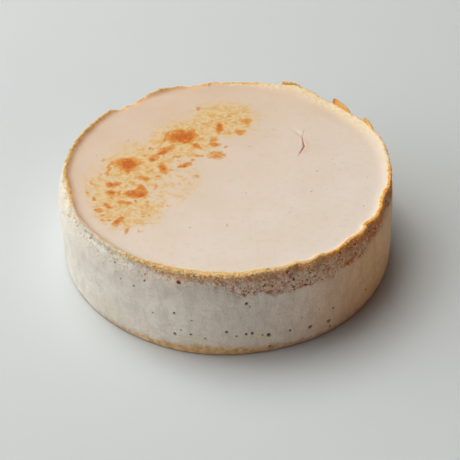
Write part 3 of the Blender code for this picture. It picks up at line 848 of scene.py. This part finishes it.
def rim_fields(at):
    """Where the rim is creamy, golden, rusty or tan, and where shade is painted inside the rim and on its
    gentle slope, by name.
    """
    upper = at.height > FILLING_HEIGHT / 2
    inside = (at.inward > 0.0) * upper
    back_left = stretch(at.angle, *BACK_LEFT)
    right = stretch(at.angle, *RIGHT)
    front = stretch(at.angle, *FRONT)
    front_left = stretch(at.angle, *FRONT_LEFT)
    behind = stretch(at.angle, *BEHIND_RIGHT)
    below = np.maximum(at.crest_height - at.height, 0.0)
    outward = np.where(inside > 0, -at.inward, below)
    outward += RIM_EDGE_NOISE * noise_field(at.points, RIM_EDGE_NOISE_SIZE, 51.0)
    past_start = outward + 0.0002 + 0.0030 * front + 0.0010 * right
    past_end = outward - 0.0007 - 0.0009 * front - 0.0011 * right
    gold = smooth_steps(-0.0003, 0.0003, past_start) * (1.0 - smooth_steps(-0.0005, 0.0006, past_end))
    rust = smooth_steps(-0.0020, -0.0008, outward) * (1.0 - smooth_steps(0.0002, 0.0011, outward))
    cream = smooth_steps(-0.0026, -0.0009, outward + 0.0020 * front)
    cream *= 1.0 - smooth_steps(0.0000, 0.0008, outward)
    down_slope = at.inward / at.slope
    gentle = inside * swells(at.angle, 46.0, 46.0)
    slope = (1.0 - smooth_steps(0.20, 1.50, down_slope)) * gentle
    # Painted shade at the foot of the gentle slope, which faces the light
    painted_slope_shade = smooth_steps(0.1, 0.7, down_slope) * (1.0 - smooth_steps(1.2, 2.4, down_slope))
    tan = smooth_steps(0.0002, 0.0012, outward) * (1.0 - smooth_steps(0.0020, 0.0055, outward))
    # Painted shade inside the rim, where its lip shades the filling: a warm orange tint
    shade = inside * (1.0 - smooth_steps(0.0006, 0.0044, at.inward))
    rusty = stretch(at.angle, *RUSTY) + 0.30 * stretch(at.angle, *RUSTY_LEFT)
    return {
        "gold": gold * upper * (0.04 + 0.86 * front + (0.90 - 0.64 * behind) * right),
        "deep_gold": stretch(at.angle, *DEEP_GOLD) * (1.0 - 0.7 * behind),
        "rust": rust * upper * rusty,
        "cream": np.maximum(cream * upper * (1.0 - back_left) * (1.0 - 0.5 * front_left), 0.9 * slope),
        # Painted shade at the foot of the gentle slope
        "painted_slope_shade": gentle * painted_slope_shade,
        "tan": tan * at.on_wall * (0.90 * stretch(at.angle, *TAN_FRONT) + 0.95 * right),
        # Painted shade inside the left and back rim
        "painted_rim_shade": shade * np.clip(back_left + 0.5 * stretch(at.angle, *BACK_LEFT_INSIDE), 0.0, 1.0),
    }


def wall_distance(points, angle, height, half_width, half_height):
    """0 in the middle of an ellipse on the wall and 1 on its edge."""
    angles = np.degrees(np.arctan2(points[:, 1], points[:, 0]))
    arc = np.radians(angle_between(angles, angle)) * BASE_RADIUS
    return np.hypot(arc / half_width, (points[:, 2] - height) / half_height)


def patch_field(at):
    """Brown patches of the torn band: faint clouds everywhere, and saturated ones where they show."""
    cloud = noise_field(at.points, PATCH_CLOUD_SIZE, 61.0)
    field = np.clip(0.12 + 0.50 * cloud, 0.0, 1.0) * (0.55 + 0.45 * stretch(at.angle, *CLOUDY_PATCHES))
    return np.maximum(field, spots_field(at.points, WALL_PATCHES, PATCH_SOFTNESS, wall_distance)) * at.torn


def burnt_field(at):
    """Small burnt spots on and under the rim."""
    spots = [(angle, height, size, size, strength) for angle, height, size, strength in BURNT_SPOTS]
    return spots_field(at.points, spots, BURNT_SOFTNESS, wall_distance) * at.on_wall


def torn_colour_field(at):
    """How much the torn band differs in colour from the skin: it fades in at the front."""
    shown = smooth_steps(*TORN_COLOUR_IN, at.angle) * (1.0 - smooth_steps(*TORN_COLOUR_OUT, at.angle))
    return smooth_steps(*TORN_COLOUR_EDGE, at.height - at.floor) * at.on_wall * shown


def low_crumb_field(at):
    """Where the lower wall is crumbly and a little yellow, on the left and the front."""
    cloud = np.clip(0.60 + 0.80 * noise_field(at.points, LOW_CRUMB_CLOUD_SIZE, 81.0), 0.0, 1.0)
    level = np.exp(-(((at.height - LOW_CRUMB_HEIGHT) / LOW_CRUMB_REACH) ** 2))
    return at.on_wall * cloud * level * stretch(at.angle, *LOW_CRUMBS)


def foot_field(at):
    """The browned band at the foot of the wall, strongest at the front."""
    strength = 0.32 + 0.68 * swells(at.angle, -98.0, 30.0)
    reach = FOOT_HEIGHT + FOOT_RISE * swells(at.angle, -95.0, 30.0)
    reach += FOOT_WAVE * noise_field(at.points, FOOT_WAVE_SIZE, 71.0)
    return at.on_wall * strength * (1.0 - smooth_steps(0.25, 1.25, at.height / reach))


class Recipe:
    """Builds one material's nodes. Each method returns the socket that carries its result."""

    def __init__(self, name):
        self.material = bpy.data.materials.new(name)
        self.material.use_nodes = True
        self.nodes = self.material.node_tree.nodes
        self.links = self.material.node_tree.links
        self.shader = self.nodes["Principled BSDF"]
        self.place = self.nodes.new("ShaderNodeTexCoord").outputs["Object"]

    def feed(self, socket, value):
        """Links a socket, or sets a number or colour on it."""
        if isinstance(value, bpy.types.NodeSocket):
            self.links.new(value, socket)
        else:
            socket.default_value = value

    def add(self, kind, inputs, output, **settings):
        """Adds a node with its settings and inputs, and returns one of its outputs."""
        node = self.nodes.new("ShaderNode" + kind)
        for name, value in settings.items():
            setattr(node, name, value)
        for name, value in inputs.items():
            self.feed(node.inputs[name], value)
        return node.outputs[output]

    def field(self, name):
        return self.add("Attribute", {}, "Fac", attribute_name=name)

    def math(self, operation, first, second=0.0, clamp=False):
        return self.add("Math", {0: first, 1: second}, 0, operation=operation, use_clamp=clamp)

    def grain(self, size, detail=3.0, roughness=0.5, distortion=0.0, scale=(1.0, 1.0, 1.0)):
        """Noise from 0 to 1 whose bumps are about as wide as size; a small scale draws them out that way."""
        place = self.add("Mapping", {"Vector": self.place, "Scale": scale}, 0)
        shape = {"Scale": 1.0 / size, "Detail": detail, "Roughness": roughness, "Distortion": distortion}
        return self.add("TexNoise", {"Vector": place, **shape}, "Fac")

    def sharpen(self, value, low, high, start=0.0, end=1.0):
        """Turns a soft value into an edge between low and high."""
        inputs = {"Value": value, "From Min": low, "From Max": high, "To Min": start, "To Max": end}
        return self.add("MapRange", inputs, "Result", interpolation_type="SMOOTHSTEP")

    def ragged(self, value, rough, amount, low, high, end=1.0):
        """Like sharpen, with an edge made ragged by a noise."""
        offset = self.math("MULTIPLY", self.math("SUBTRACT", rough, 0.5), amount)
        shifted = self.math("ADD", value, self.math("MULTIPLY", offset, self.sharpen(value, 0.02, 0.15)))
        return self.sharpen(shifted, low, high, 0.0, end)

    def mix(self, share, first, second, kind="MIX"):
        inputs = {"Factor": share, MIX_FIRST: first, MIX_SECOND: second}
        return self.add("Mix", inputs, MIX_RESULT, data_type="RGBA", blend_type=kind)

    def tones(self, value, low, high, first, second):
        """Two sRGB colours, mixed by an edge of the value."""
        return self.mix(self.sharpen(value, low, high), srgb(*first), srgb(*second))

    def marks(self, colour, rows):
        """Marks over a colour, each where a value is high: value, low, high, strength, sRGB colour."""
        for value, low, high, strength, over in rows:
            colour = self.mix(self.sharpen(value, low, high, 0.0, strength), colour, srgb(*over))
        return colour

    def cover(self, colour, name, rough, amount, low, high, end, over):
        """A second colour laid over the first where a field is high, with a ragged edge."""
        return self.mix(self.ragged(self.field(name), rough, amount, low, high, end), colour, over)

    def wash(self, colour, share, strength, over):
        """An sRGB colour laid thinly over the first."""
        return self.mix(self.math("MULTIPLY", share, strength), colour, srgb(*over))

    def bump(self, height, depth, **before):
        """Fine relief of that depth in metres, over the Normal before it if there is one."""
        return self.add("Bump", {"Distance": depth, "Strength": 1.0, "Height": height, **before}, 0)

    def finish(self, colour, roughness, normal, scattering=0.15, scale=0.0015, gloss=0.35):
        inputs = {
            "Base Color": colour,
            "Roughness": roughness,
            "Normal": normal,
            "Subsurface Weight": scattering,
            "Subsurface Radius": SCATTER_COLOURS,
            "Subsurface Scale": scale,
            "Specular IOR Level": gloss,
        }
        for name, value in inputs.items():
            self.feed(self.shader.inputs[name], value)
        return self.material


def filling_colour(mat, cloudy, mottle, speckle, fray):
    """Pale pink filling with its yellow zone and its scorch marks."""
    clouds = mat.sharpen(cloudy, 0.35, 0.65)
    cool = mat.mix(clouds, srgb(239, 225, 214), srgb(236, 221, 207))
    warm = mat.mix(clouds, srgb(231, 207, 186), srgb(228, 202, 177))
    colour = mat.mix(mat.field("warmth"), cool, warm)
    marks = ((mottle, 0.50, 0.72, 0.28, (226, 199, 179)), (speckle, 0.60, 0.76, 0.26, (216, 188, 162)))
    colour = mat.marks(colour, marks)

    zone = mat.field("toast")
    spots = mat.grain(0.0036, 3.0, 0.6)
    yellow = mat.tones(mottle, 0.42, 0.62, (237, 208, 156), (233, 196, 130))
    colour = mat.mix(mat.ragged(zone, spots, 1.9, 0.05, 1.00, 0.92), colour, yellow)
    freckles = mat.math("MULTIPLY", mat.sharpen(spots, 0.46, 0.66), mat.sharpen(zone, 0.15, 0.80))
    colour = mat.wash(colour, freckles, 0.58, (227, 168, 90))
    flecks = mat.math("MULTIPLY", mat.sharpen(fray, 0.50, 0.68), mat.sharpen(zone, 0.45, 1.0))
    colour = mat.wash(colour, flecks, 0.58, (220, 152, 74))

    scorch = mat.field("scorch")
    colour = mat.mix(mat.ragged(scorch, fray, 1.2, 0.02, 0.40, 0.95), colour, srgb(227, 170, 94))
    tone = mat.tones(mottle, 0.38, 0.62, (230, 144, 54), (218, 122, 32))
    colour = mat.mix(mat.ragged(scorch, fray, 1.2, 0.13, 0.86), colour, tone)
    return mat.mix(mat.ragged(scorch, fray, 1.2, 0.60, 1.15), colour, srgb(203, 100, 24))


def skin_colour(mat, cloudy, mottle, speckle, crumb):
    """Pale skin of the wall with smears, specks, crumbly places and the browned foot; painted warm reflected
    light on the right, painted shade at the foot.
    """
    dashes = mat.grain(0.0010, 3.0, 0.6, 0.3, (0.22, 0.22, 1.0))
    smears = mat.grain(0.0045, 4.0, 0.62, 0.4, (1.0, 1.0, 0.42))
    colour = mat.tones(cloudy, 0.35, 0.65, (239, 233, 222), (232, 224, 211))
    marks = (
        (smears, 0.46, 0.64, 0.45, (208, 197, 184)),
        (mottle, 0.46, 0.64, 0.25, (214, 202, 187)),
        (dashes, 0.54, 0.72, 0.28, (195, 180, 162)),
        (speckle, 0.58, 0.70, 0.30, (200, 184, 164)),
    )
    colour = mat.marks(colour, marks)
    colour = mat.wash(colour, mat.field("streak"), 0.60, (186, 168, 156))
    # Painted warm reflected light on the right of the wall
    colour = mat.mix(mat.field("painted_warm_bounce"), colour, PAINTED_BOUNCE_TINT, "MULTIPLY")
    low = mat.tones(crumb, 0.42, 0.60, (241, 234, 212), (212, 196, 166))
    colour = mat.cover(colour, "low_crumbs", mottle, 1.4, 0.15, 0.90, 0.70, low)
    shoulder = mat.tones(speckle, 0.42, 0.60, (249, 241, 220), (228, 208, 178))
    colour = mat.cover(colour, "pale", mottle, 1.2, 0.10, 0.90, 0.80, shoulder)
    foot = mat.tones(mottle, 0.40, 0.62, (230, 190, 124), (204, 156, 92))
    # On the right, painted shade and reflected brown light dull the foot; on the left its browning is a
    # little duller
    foot = mat.mix(mat.field("foot_right"), foot, srgb(184, 146, 108))
    colour = mat.cover(colour, "foot", mottle, 0.9, 0.04, 0.90, 0.92, foot)
    # Dark brown line along the bottom edge: browned crust with painted contact shadow
    return mat.wash(colour, mat.field("toe"), 0.7, (128, 88, 50))


def torn_colour(mat, mottle, speckle, crumb):
    """Porous flesh of the torn band, with browned patches, painted shade in its pores and pale grains."""
    front = mat.tones(mottle, 0.40, 0.60, (236, 210, 186), (218, 182, 156))
    right = mat.tones(mottle, 0.40, 0.60, (246, 206, 158), (224, 168, 116))
    colour = mat.mix(mat.field("deep_gold"), front, right)
    marks = ((crumb, 0.50, 0.64, 0.65, (250, 238, 218)), (speckle, 0.53, 0.66, 0.60, (150, 104, 76)))
    colour = mat.marks(colour, marks)
    brown_front = mat.tones(speckle, 0.40, 0.62, (218, 152, 112), (180, 112, 76))
    brown_right = mat.tones(speckle, 0.40, 0.62, (240, 164, 98), (212, 126, 68))
    brown = mat.mix(mat.field("deep_gold"), brown_front, brown_right)
    # Dark dots of painted shade standing in for holes too small to model
    holes = mat.grain(0.0015, 2.0, 0.5)
    colour = mat.marks(colour, ((holes, 0.62, 0.69, 0.85, (122, 66, 38)),))
    colour = mat.cover(colour, "patch", mottle, 1.4, 0.12, 0.66, 0.95, brown)
    # Painted shade in the modelled pores
    return mat.marks(colour, ((mat.field("pores"), 0.05, 0.75, 0.80, (132, 80, 50)),))


def cake_material():
    """Baked filling, pale skin on the wall, and the torn, browned crust round the rim, with painted shade in
    hollows, inside the rim and at the foot, and painted warm reflected light on the right.
    """
    mat = Recipe("baked_cheesecake")
    cloudy = mat.grain(0.020, 3.0, 0.55)
    mottle = mat.grain(0.0028, 4.0, 0.6)
    fray = mat.grain(0.0017, 3.0, 0.6)
    speckle = mat.grain(0.0009, 3.0, 0.65)
    crumb = mat.grain(0.00055, 2.0, 0.6)

    skin = skin_colour(mat, cloudy, mottle, speckle, crumb)
    tan = mat.tones(speckle, 0.40, 0.60, (236, 194, 154), (212, 156, 116))
    flesh = torn_colour(mat, mottle, speckle, crumb)
    skin = mat.cover(skin, "torn_colour", mottle, 1.8, 0.20, 0.80, 0.95, flesh)
    tan_right = mat.tones(speckle, 0.40, 0.60, (244, 180, 118), (218, 140, 84))
    tan = mat.mix(mat.field("deep_gold"), tan, tan_right)
    skin = mat.cover(skin, "tan", fray, 1.3, 0.15, 0.85, 0.85, tan)
    colour = filling_colour(mat, cloudy, mottle, speckle, fray)
    # Painted shade inside the rim's lip, as a warm orange tint
    colour = mat.wash(colour, mat.field("painted_rim_shade"), 0.78, (252, 202, 164))
    # Painted shade that darkens the foot of the gentle slope where it faces the light
    colour = mat.wash(colour, mat.field("painted_slope_shade"), 0.45, (222, 196, 170))
    colour = mat.mix(mat.sharpen(mat.field("wall"), 0.3, 0.7), colour, skin)

    cream = mat.tones(fray, 0.42, 0.62, (244, 226, 188), (236, 206, 152))
    colour = mat.cover(colour, "cream", mottle, 1.6, 0.10, 0.95, 0.88, cream)
    rust = mat.tones(fray, 0.42, 0.62, (252, 212, 138), (242, 180, 104))
    colour = mat.cover(colour, "rust", fray, 0.8, 0.10, 0.80, 0.95, rust)
    pale_gold = mat.tones(speckle, 0.38, 0.60, (248, 212, 142), (232, 174, 104))
    deep_gold = mat.tones(fray, 0.40, 0.62, (250, 188, 80), (230, 142, 44))
    gold = mat.mix(mat.field("deep_gold"), pale_gold, deep_gold)
    colour = mat.cover(colour, "gold", fray, 1.1, 0.12, 0.70, 0.95, gold)
    colour = mat.cover(colour, "burnt", speckle, 1.2, 0.15, 0.75, 0.95, srgb(156, 78, 28))
    colour = mat.wash(colour, mat.field("crack"), 0.85, (190, 112, 58))
    # Painted shade inside bubbles and pinholes
    colour = mat.wash(colour, mat.field("dark"), 0.92, (104, 72, 52))

    rough = mat.sharpen(mottle, 0.2, 0.8, 0.46, 0.62)
    rough = mat.math("ADD", rough, mat.math("MULTIPLY", mat.field("torn"), 0.25), True)
    bumpy = mat.math("ADD", mat.math("MULTIPLY", mat.field("wall"), 0.8), 0.2)
    normal = mat.bump(mat.math("MULTIPLY", speckle, bumpy), 0.00028)
    normal = mat.bump(mat.math("MULTIPLY", crumb, mat.field("torn")), 0.0006, Normal=normal)
    return mat.finish(colour, rough, normal, 0.18, 0.0016)


def crumb_material(name, light, middle, dark):
    """Crumbs of one tone, each a little lighter or darker than the next."""
    mat = Recipe(name)
    speckle = mat.grain(0.0006, 3.0, 0.65)
    tone = mat.mix(mat.field("tint"), light, middle)
    tone = mat.mix(mat.sharpen(mat.field("tint"), 0.6, 1.0), tone, dark)
    tone = mat.mix(mat.sharpen(speckle, 0.45, 0.75, 0.0, 0.6), tone, dark)
    rough = mat.sharpen(speckle, 0.2, 0.8, 0.55, 0.8)
    return mat.finish(tone, rough, mat.bump(speckle, 0.0003), 0.12, 0.001)


def speck_material():
    mat = Recipe("dried_fruit")
    speckle = mat.grain(0.0004, 3.0, 0.6)
    colour = mat.tones(speckle, 0.3, 0.7, (176, 72, 38), (128, 42, 22))
    rough = mat.sharpen(speckle, 0.2, 0.8, 0.35, 0.55)
    return mat.finish(colour, rough, mat.bump(speckle, 0.0002), 0.1, 0.0005)


def floor_material():
    mat = Recipe("pale_floor")
    cloudy = mat.grain(0.8, 2.0, 0.5)
    colour = mat.mix(cloudy, srgb(214, 219, 222), srgb(218, 223, 226))
    return mat.finish(colour, 0.9, mat.bump(mat.grain(0.02, 2.0, 0.5), 0.00005), 0.0, 0.001, 0.05)


def facing_out(angle, radius, height, size):
    """A matrix that places a unit ball with X outwards, Y along the rim and Z up, scaled to size."""
    turned = Matrix.Rotation(math.radians(angle), 4, "Z")
    return Matrix.Translation(around(angle, radius, height)) @ turned @ Matrix.Diagonal((*size, 1.0))


def add_lump(body, tints, matrix, draw, fineness=2, jitter=0.35):
    """A small uneven closed lump: a ball pushed in and out by noise, tumbled, then placed."""
    made = bmesh.ops.create_icosphere(body, subdivisions=fineness, radius=1.0)
    shift = Vector([draw.uniform(-50.0, 50.0) for _ in range(3)])
    turn = draw.uniform(-0.6, 0.6)
    axis = Vector((draw.uniform(-1, 1), draw.uniform(-1, 1), 1.0))
    tumble = Matrix.Rotation(turn, 4, axis)
    tint = draw.random()
    for corner in made["verts"]:
        bump = noise.noise(corner.co * 1.1 + shift) + 0.5 * noise.noise(corner.co * 2.6 + shift)
        corner.co = matrix @ (tumble @ (corner.co * (1.0 + jitter * bump)))
        corner[tints] = tint


def uneven_size(draw, half, *spans):
    """Half sizes of a crumb, each drawn from its own span."""
    return [half * draw.uniform(*span) for span in spans]


def stick_on(body, tints, angle, spot, outward, size, draw, fineness=2, jitter=0.35):
    """Adds a lump at a spot of the wall, moved outwards a little."""
    out = math.hypot(spot.x, spot.y) + outward
    add_lump(body, tints, facing_out(angle, out, spot.z, size), draw, fineness, jitter)


def lumps_object(name, fill, paint):
    """An object of many closed lumps, which the fill function adds."""
    body = bmesh.new()
    tints = body.verts.layers.float.new("tint")
    fill(body, tints)
    bmesh.ops.recalc_face_normals(body, faces=body.faces)
    mesh = bpy.data.meshes.new(name)
    body.to_mesh(mesh)
    body.free()
    return placed(name, mesh, paint)


def placed(name, mesh, paint):
    mesh.materials.append(paint)
    mesh.shade_smooth()
    thing = bpy.data.objects.new(name, mesh)
    bpy.context.scene.collection.objects.link(thing)
    return thing


# Crumbs on the crest: first angle, last angle, how many, smallest and largest half size
CREST_CRUMBS = (
    (216.0, 236.0, 34, 0.00014, 0.00030),
    (236.0, 286.0, 380, 0.00015, 0.00042),
    (286.0, 330.0, 130, 0.00014, 0.00038),
    (330.0, 395.0, 80, 0.00015, 0.00038),
    (395.0, 470.0, 90, 0.00015, 0.00038),
    (470.0, 565.0, 80, 0.00014, 0.00032),
)
CREST_CRUMB_SPREAD = (0.0004, 0.0008)
BAND_CRUMB_COUNT = 620
BAND_CRUMB_SIZES = (0.00018, 0.00048)
SHOULDER_CRUMB_COUNT = 460
SHOULDER_CRUMB_SIZES = (0.00018, 0.00052)


def crest_crumbs(body, tints):
    """Browned crumbs that sit half sunk on the crest and just outside it."""
    draw = random.Random(SEED)
    for first, last, count, small, large in CREST_CRUMBS:
        for _ in range(count):
            angle = draw.uniform(first, last)
            radius, crest = rim_crest(angle)
            half = draw.uniform(small, large)
            outward = draw.gauss(*CREST_CRUMB_SPREAD)
            if outward < 0.0:
                out = radius - CREST_ROUND / 2 + outward
                height = top_point(angle, out).z - 0.2 * half
            else:
                over = math.asin(1.0 - min(outward / CREST_ROUND, 1.0))
                out = radius - CREST_ROUND / 2 + CREST_ROUND * math.cos(over) - 0.3 * half
                height = crest - outward - 0.1 * half
            size = uneven_size(draw, half, (0.8, 1.1), (0.9, 1.6), (0.6, 0.9))
            add_lump(body, tints, facing_out(angle, out, height, size), draw)


def band_crumbs(body, tints):
    """Pale grains of torn filling on the porous band."""
    draw = random.Random(SEED + 1)
    for _ in range(BAND_CRUMB_COUNT):
        angle = draw.uniform(BAND_FROM + 2.0, BAND_TO - 2.0)
        height = draw.uniform(band_floor(angle) + 0.0004, RIM_HEIGHT - 0.001)
        spot = wall_point(angle, height)
        half = draw.uniform(*BAND_CRUMB_SIZES)
        size = (half * 0.7, *uneven_size(draw, half, (0.8, 1.5), (0.7, 1.1)))
        stick_on(body, tints, angle, spot, -0.35 * half, size, draw)


def shoulder_crumbs(body, tints):
    """Pale cream crumbs on the rounded shoulder of the left side."""
    draw = random.Random(SEED + 2)
    for _ in range(SHOULDER_CRUMB_COUNT):
        angle = draw.gauss(216.0, 20.0)
        height = RIM_HEIGHT - abs(draw.gauss(0.0, 0.0026)) - 0.0004
        spot = wall_point(angle, height)
        half = draw.uniform(*SHOULDER_CRUMB_SIZES)
        size = (half * 0.6, *uneven_size(draw, half, (0.8, 1.5), (0.6, 1.0)))
        stick_on(body, tints, angle, spot, -0.3 * half, size, draw)


def chip_outline(angle, length, height, share):
    """The outline at one share of the chip's length: a thin leaf that leans out, with an uneven top."""
    here = angle - math.degrees(length * share / RIM_RADIUS)
    radius, crest = rim_crest(here)
    rise = height * (1.0 - share**CHIP_BLUNTNESS)
    rise *= 1.0 + 0.16 * noise.noise(Vector((here * 1.4, height * 900.0, 0.0)))
    blunt = math.sqrt(min(1.0, share / 0.10))
    half = CHIP_THICKNESS / 2 * (1.0 - share / 2) * (0.35 + 0.65 * blunt)
    tip = radius + CHIP_LEAN * rise
    root = crest - CHIP_ROOT
    top = crest + rise
    lean = tip - radius
    reach = top - half / 2 - root
    corners = [(radius - half, root), (radius, root - 0.0002), (radius + half, root)]
    corners += [(radius + half + lean * step, root + reach * step) for step in CHIP_SIDE_STEPS]
    corners += [(tip + half, top - half / 2), (tip + 0.6 * half, top - 0.1 * half), (tip, top)]
    corners += [(tip - 0.6 * half, top - 0.1 * half), (tip - half, top - half / 2)]
    corners += [(radius - half + lean * step, root + reach * step) for step in reversed(CHIP_SIDE_STEPS)]
    return [around(here, *corner) for corner in corners]


def add_chip(body, tints, angle, length, height, darkness):
    rows = []
    for step in range(CHIP_STEPS):
        outline = chip_outline(angle, length, height, (step / (CHIP_STEPS - 1)) ** 1.4)
        row = []
        for spot in outline:
            corner = body.verts.new(spot + CHIP_WOBBLE * noise.noise_vector(spot / CHIP_WOBBLE_SIZE))
            corner[tints] = darkness * (1.0 - smooth_step(0.0, 0.6, step / CHIP_STEPS))
            row.append(corner)
        rows.append(row)
    for one, two in zip(rows, rows[1:]):
        for index in range(len(one)):
            after = (index + 1) % len(one)
            body.faces.new((one[index], one[after], two[after], two[index]))
    close_centre(body, rows[0])
    close_centre(body, rows[-1])


def rim_chips(body, tints):
    for chip in RIM_CHIPS:
        add_chip(body, tints, *chip)


# The red speck of fruit: angle, height, half sizes
SPECK = (255.3, 0.0374, (0.00042, 0.00080, 0.00080))
SPECK_OUT = 0.00008


def fruit_speck(body, tints):
    angle, height, size = SPECK
    spot = wall_point(angle, height)
    stick_on(body, tints, angle, spot, SPECK_OUT, size, random.Random(SEED + 3), 3, 0.3)


def ride_as_filling(thing):
    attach(thing, BODY)
    return thing


def build_cake():
    mesh = cake_mesh()
    shape_and_tone(mesh)
    cake = placed("cake_body", mesh, cake_material())
    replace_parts(ride_as_filling(cake), NODE)
    browned = crumb_material("browned_crumbs", srgb(250, 234, 196), srgb(242, 204, 138), srgb(218, 156, 96))
    pale = crumb_material("pale_crumbs", srgb(246, 238, 220), srgb(232, 214, 186), srgb(198, 164, 128))
    chips = crumb_material("rim_chip_crust", srgb(240, 190, 106), srgb(228, 150, 62), srgb(196, 104, 36))
    ride_as_filling(lumps_object("crest_crumbs", crest_crumbs, browned))
    ride_as_filling(lumps_object("band_crumbs", band_crumbs, pale))
    ride_as_filling(lumps_object("shoulder_crumbs", shoulder_crumbs, pale))
    ride_as_filling(lumps_object("rim_chips", rim_chips, chips))
    ride_as_filling(lumps_object("fruit_speck", fruit_speck, speck_material()))


def build_floor():
    mesh = bpy.data.meshes.new("floor")
    corners = [around(angle, FLOOR_RADIUS, 0.0) for angle in turns(FLOOR_CORNERS)]
    mesh.from_pydata(corners, [], [tuple(range(FLOOR_CORNERS))])
    floor = placed("floor", mesh, floor_material())


def add_lamp(azimuth, elevation, distance, power, size, colour):
    light = bpy.data.lights.new("soft_light", "AREA")
    light.size = size
    light.energy = power
    light.color = colour
    lamp = bpy.data.objects.new("soft_light", light)
    rise = math.radians(elevation)
    lamp.location = around(azimuth, distance * math.cos(rise), distance * math.sin(rise))
    lamp.rotation_euler = (-lamp.location).to_track_quat("-Z", "Y").to_euler()
    lamp.visible_camera = False
    bpy.context.scene.collection.objects.link(lamp)


def build_light():
    for lamp in LAMPS:
        add_lamp(*lamp)
    world = bpy.data.worlds.new("studio")
    world.use_nodes = True
    nodes, links = world.node_tree.nodes, world.node_tree.links
    direction = nodes.new("ShaderNodeTexCoord").outputs["Generated"]
    parts = nodes.new("ShaderNodeSeparateXYZ")
    rise = nodes.new("ShaderNodeMapRange")
    sky = nodes.new("ShaderNodeMix")
    sky.data_type = "RGBA"
    rise.interpolation_type = "SMOOTHSTEP"
    rise.inputs["From Max"].default_value = GROUND_FADE
    sky.inputs[MIX_FIRST].default_value = [GROUND_LEVEL * part for part in GROUND_COLOUR]
    sky.inputs[MIX_SECOND].default_value = [FILL_LEVEL * part for part in FILL_COLOUR]
    links.new(direction, parts.inputs[0])
    links.new(parts.outputs["Z"], rise.inputs["Value"])
    links.new(rise.outputs["Result"], sky.inputs["Factor"])
    links.new(sky.outputs[MIX_RESULT], nodes["Background"].inputs["Color"])
    bpy.context.scene.world = world
    bpy.context.scene.view_settings.view_transform = "Standard"


def build_camera():
    lens = bpy.data.cameras.new("camera")
    lens.lens = CAMERA_LENS
    lens.sensor_width = CAMERA_SENSOR
    lens.clip_start = 0.01
    camera = bpy.data.objects.new("camera", lens)
    camera.location = CAMERA_PLACE
    camera.rotation_euler = (math.radians(90.0 - CAMERA_ELEVATION), 0.0, 0.0)
    bpy.context.scene.collection.objects.link(camera)
    bpy.context.scene.camera = camera


build_camera()
build_cake()
build_floor()
build_light()
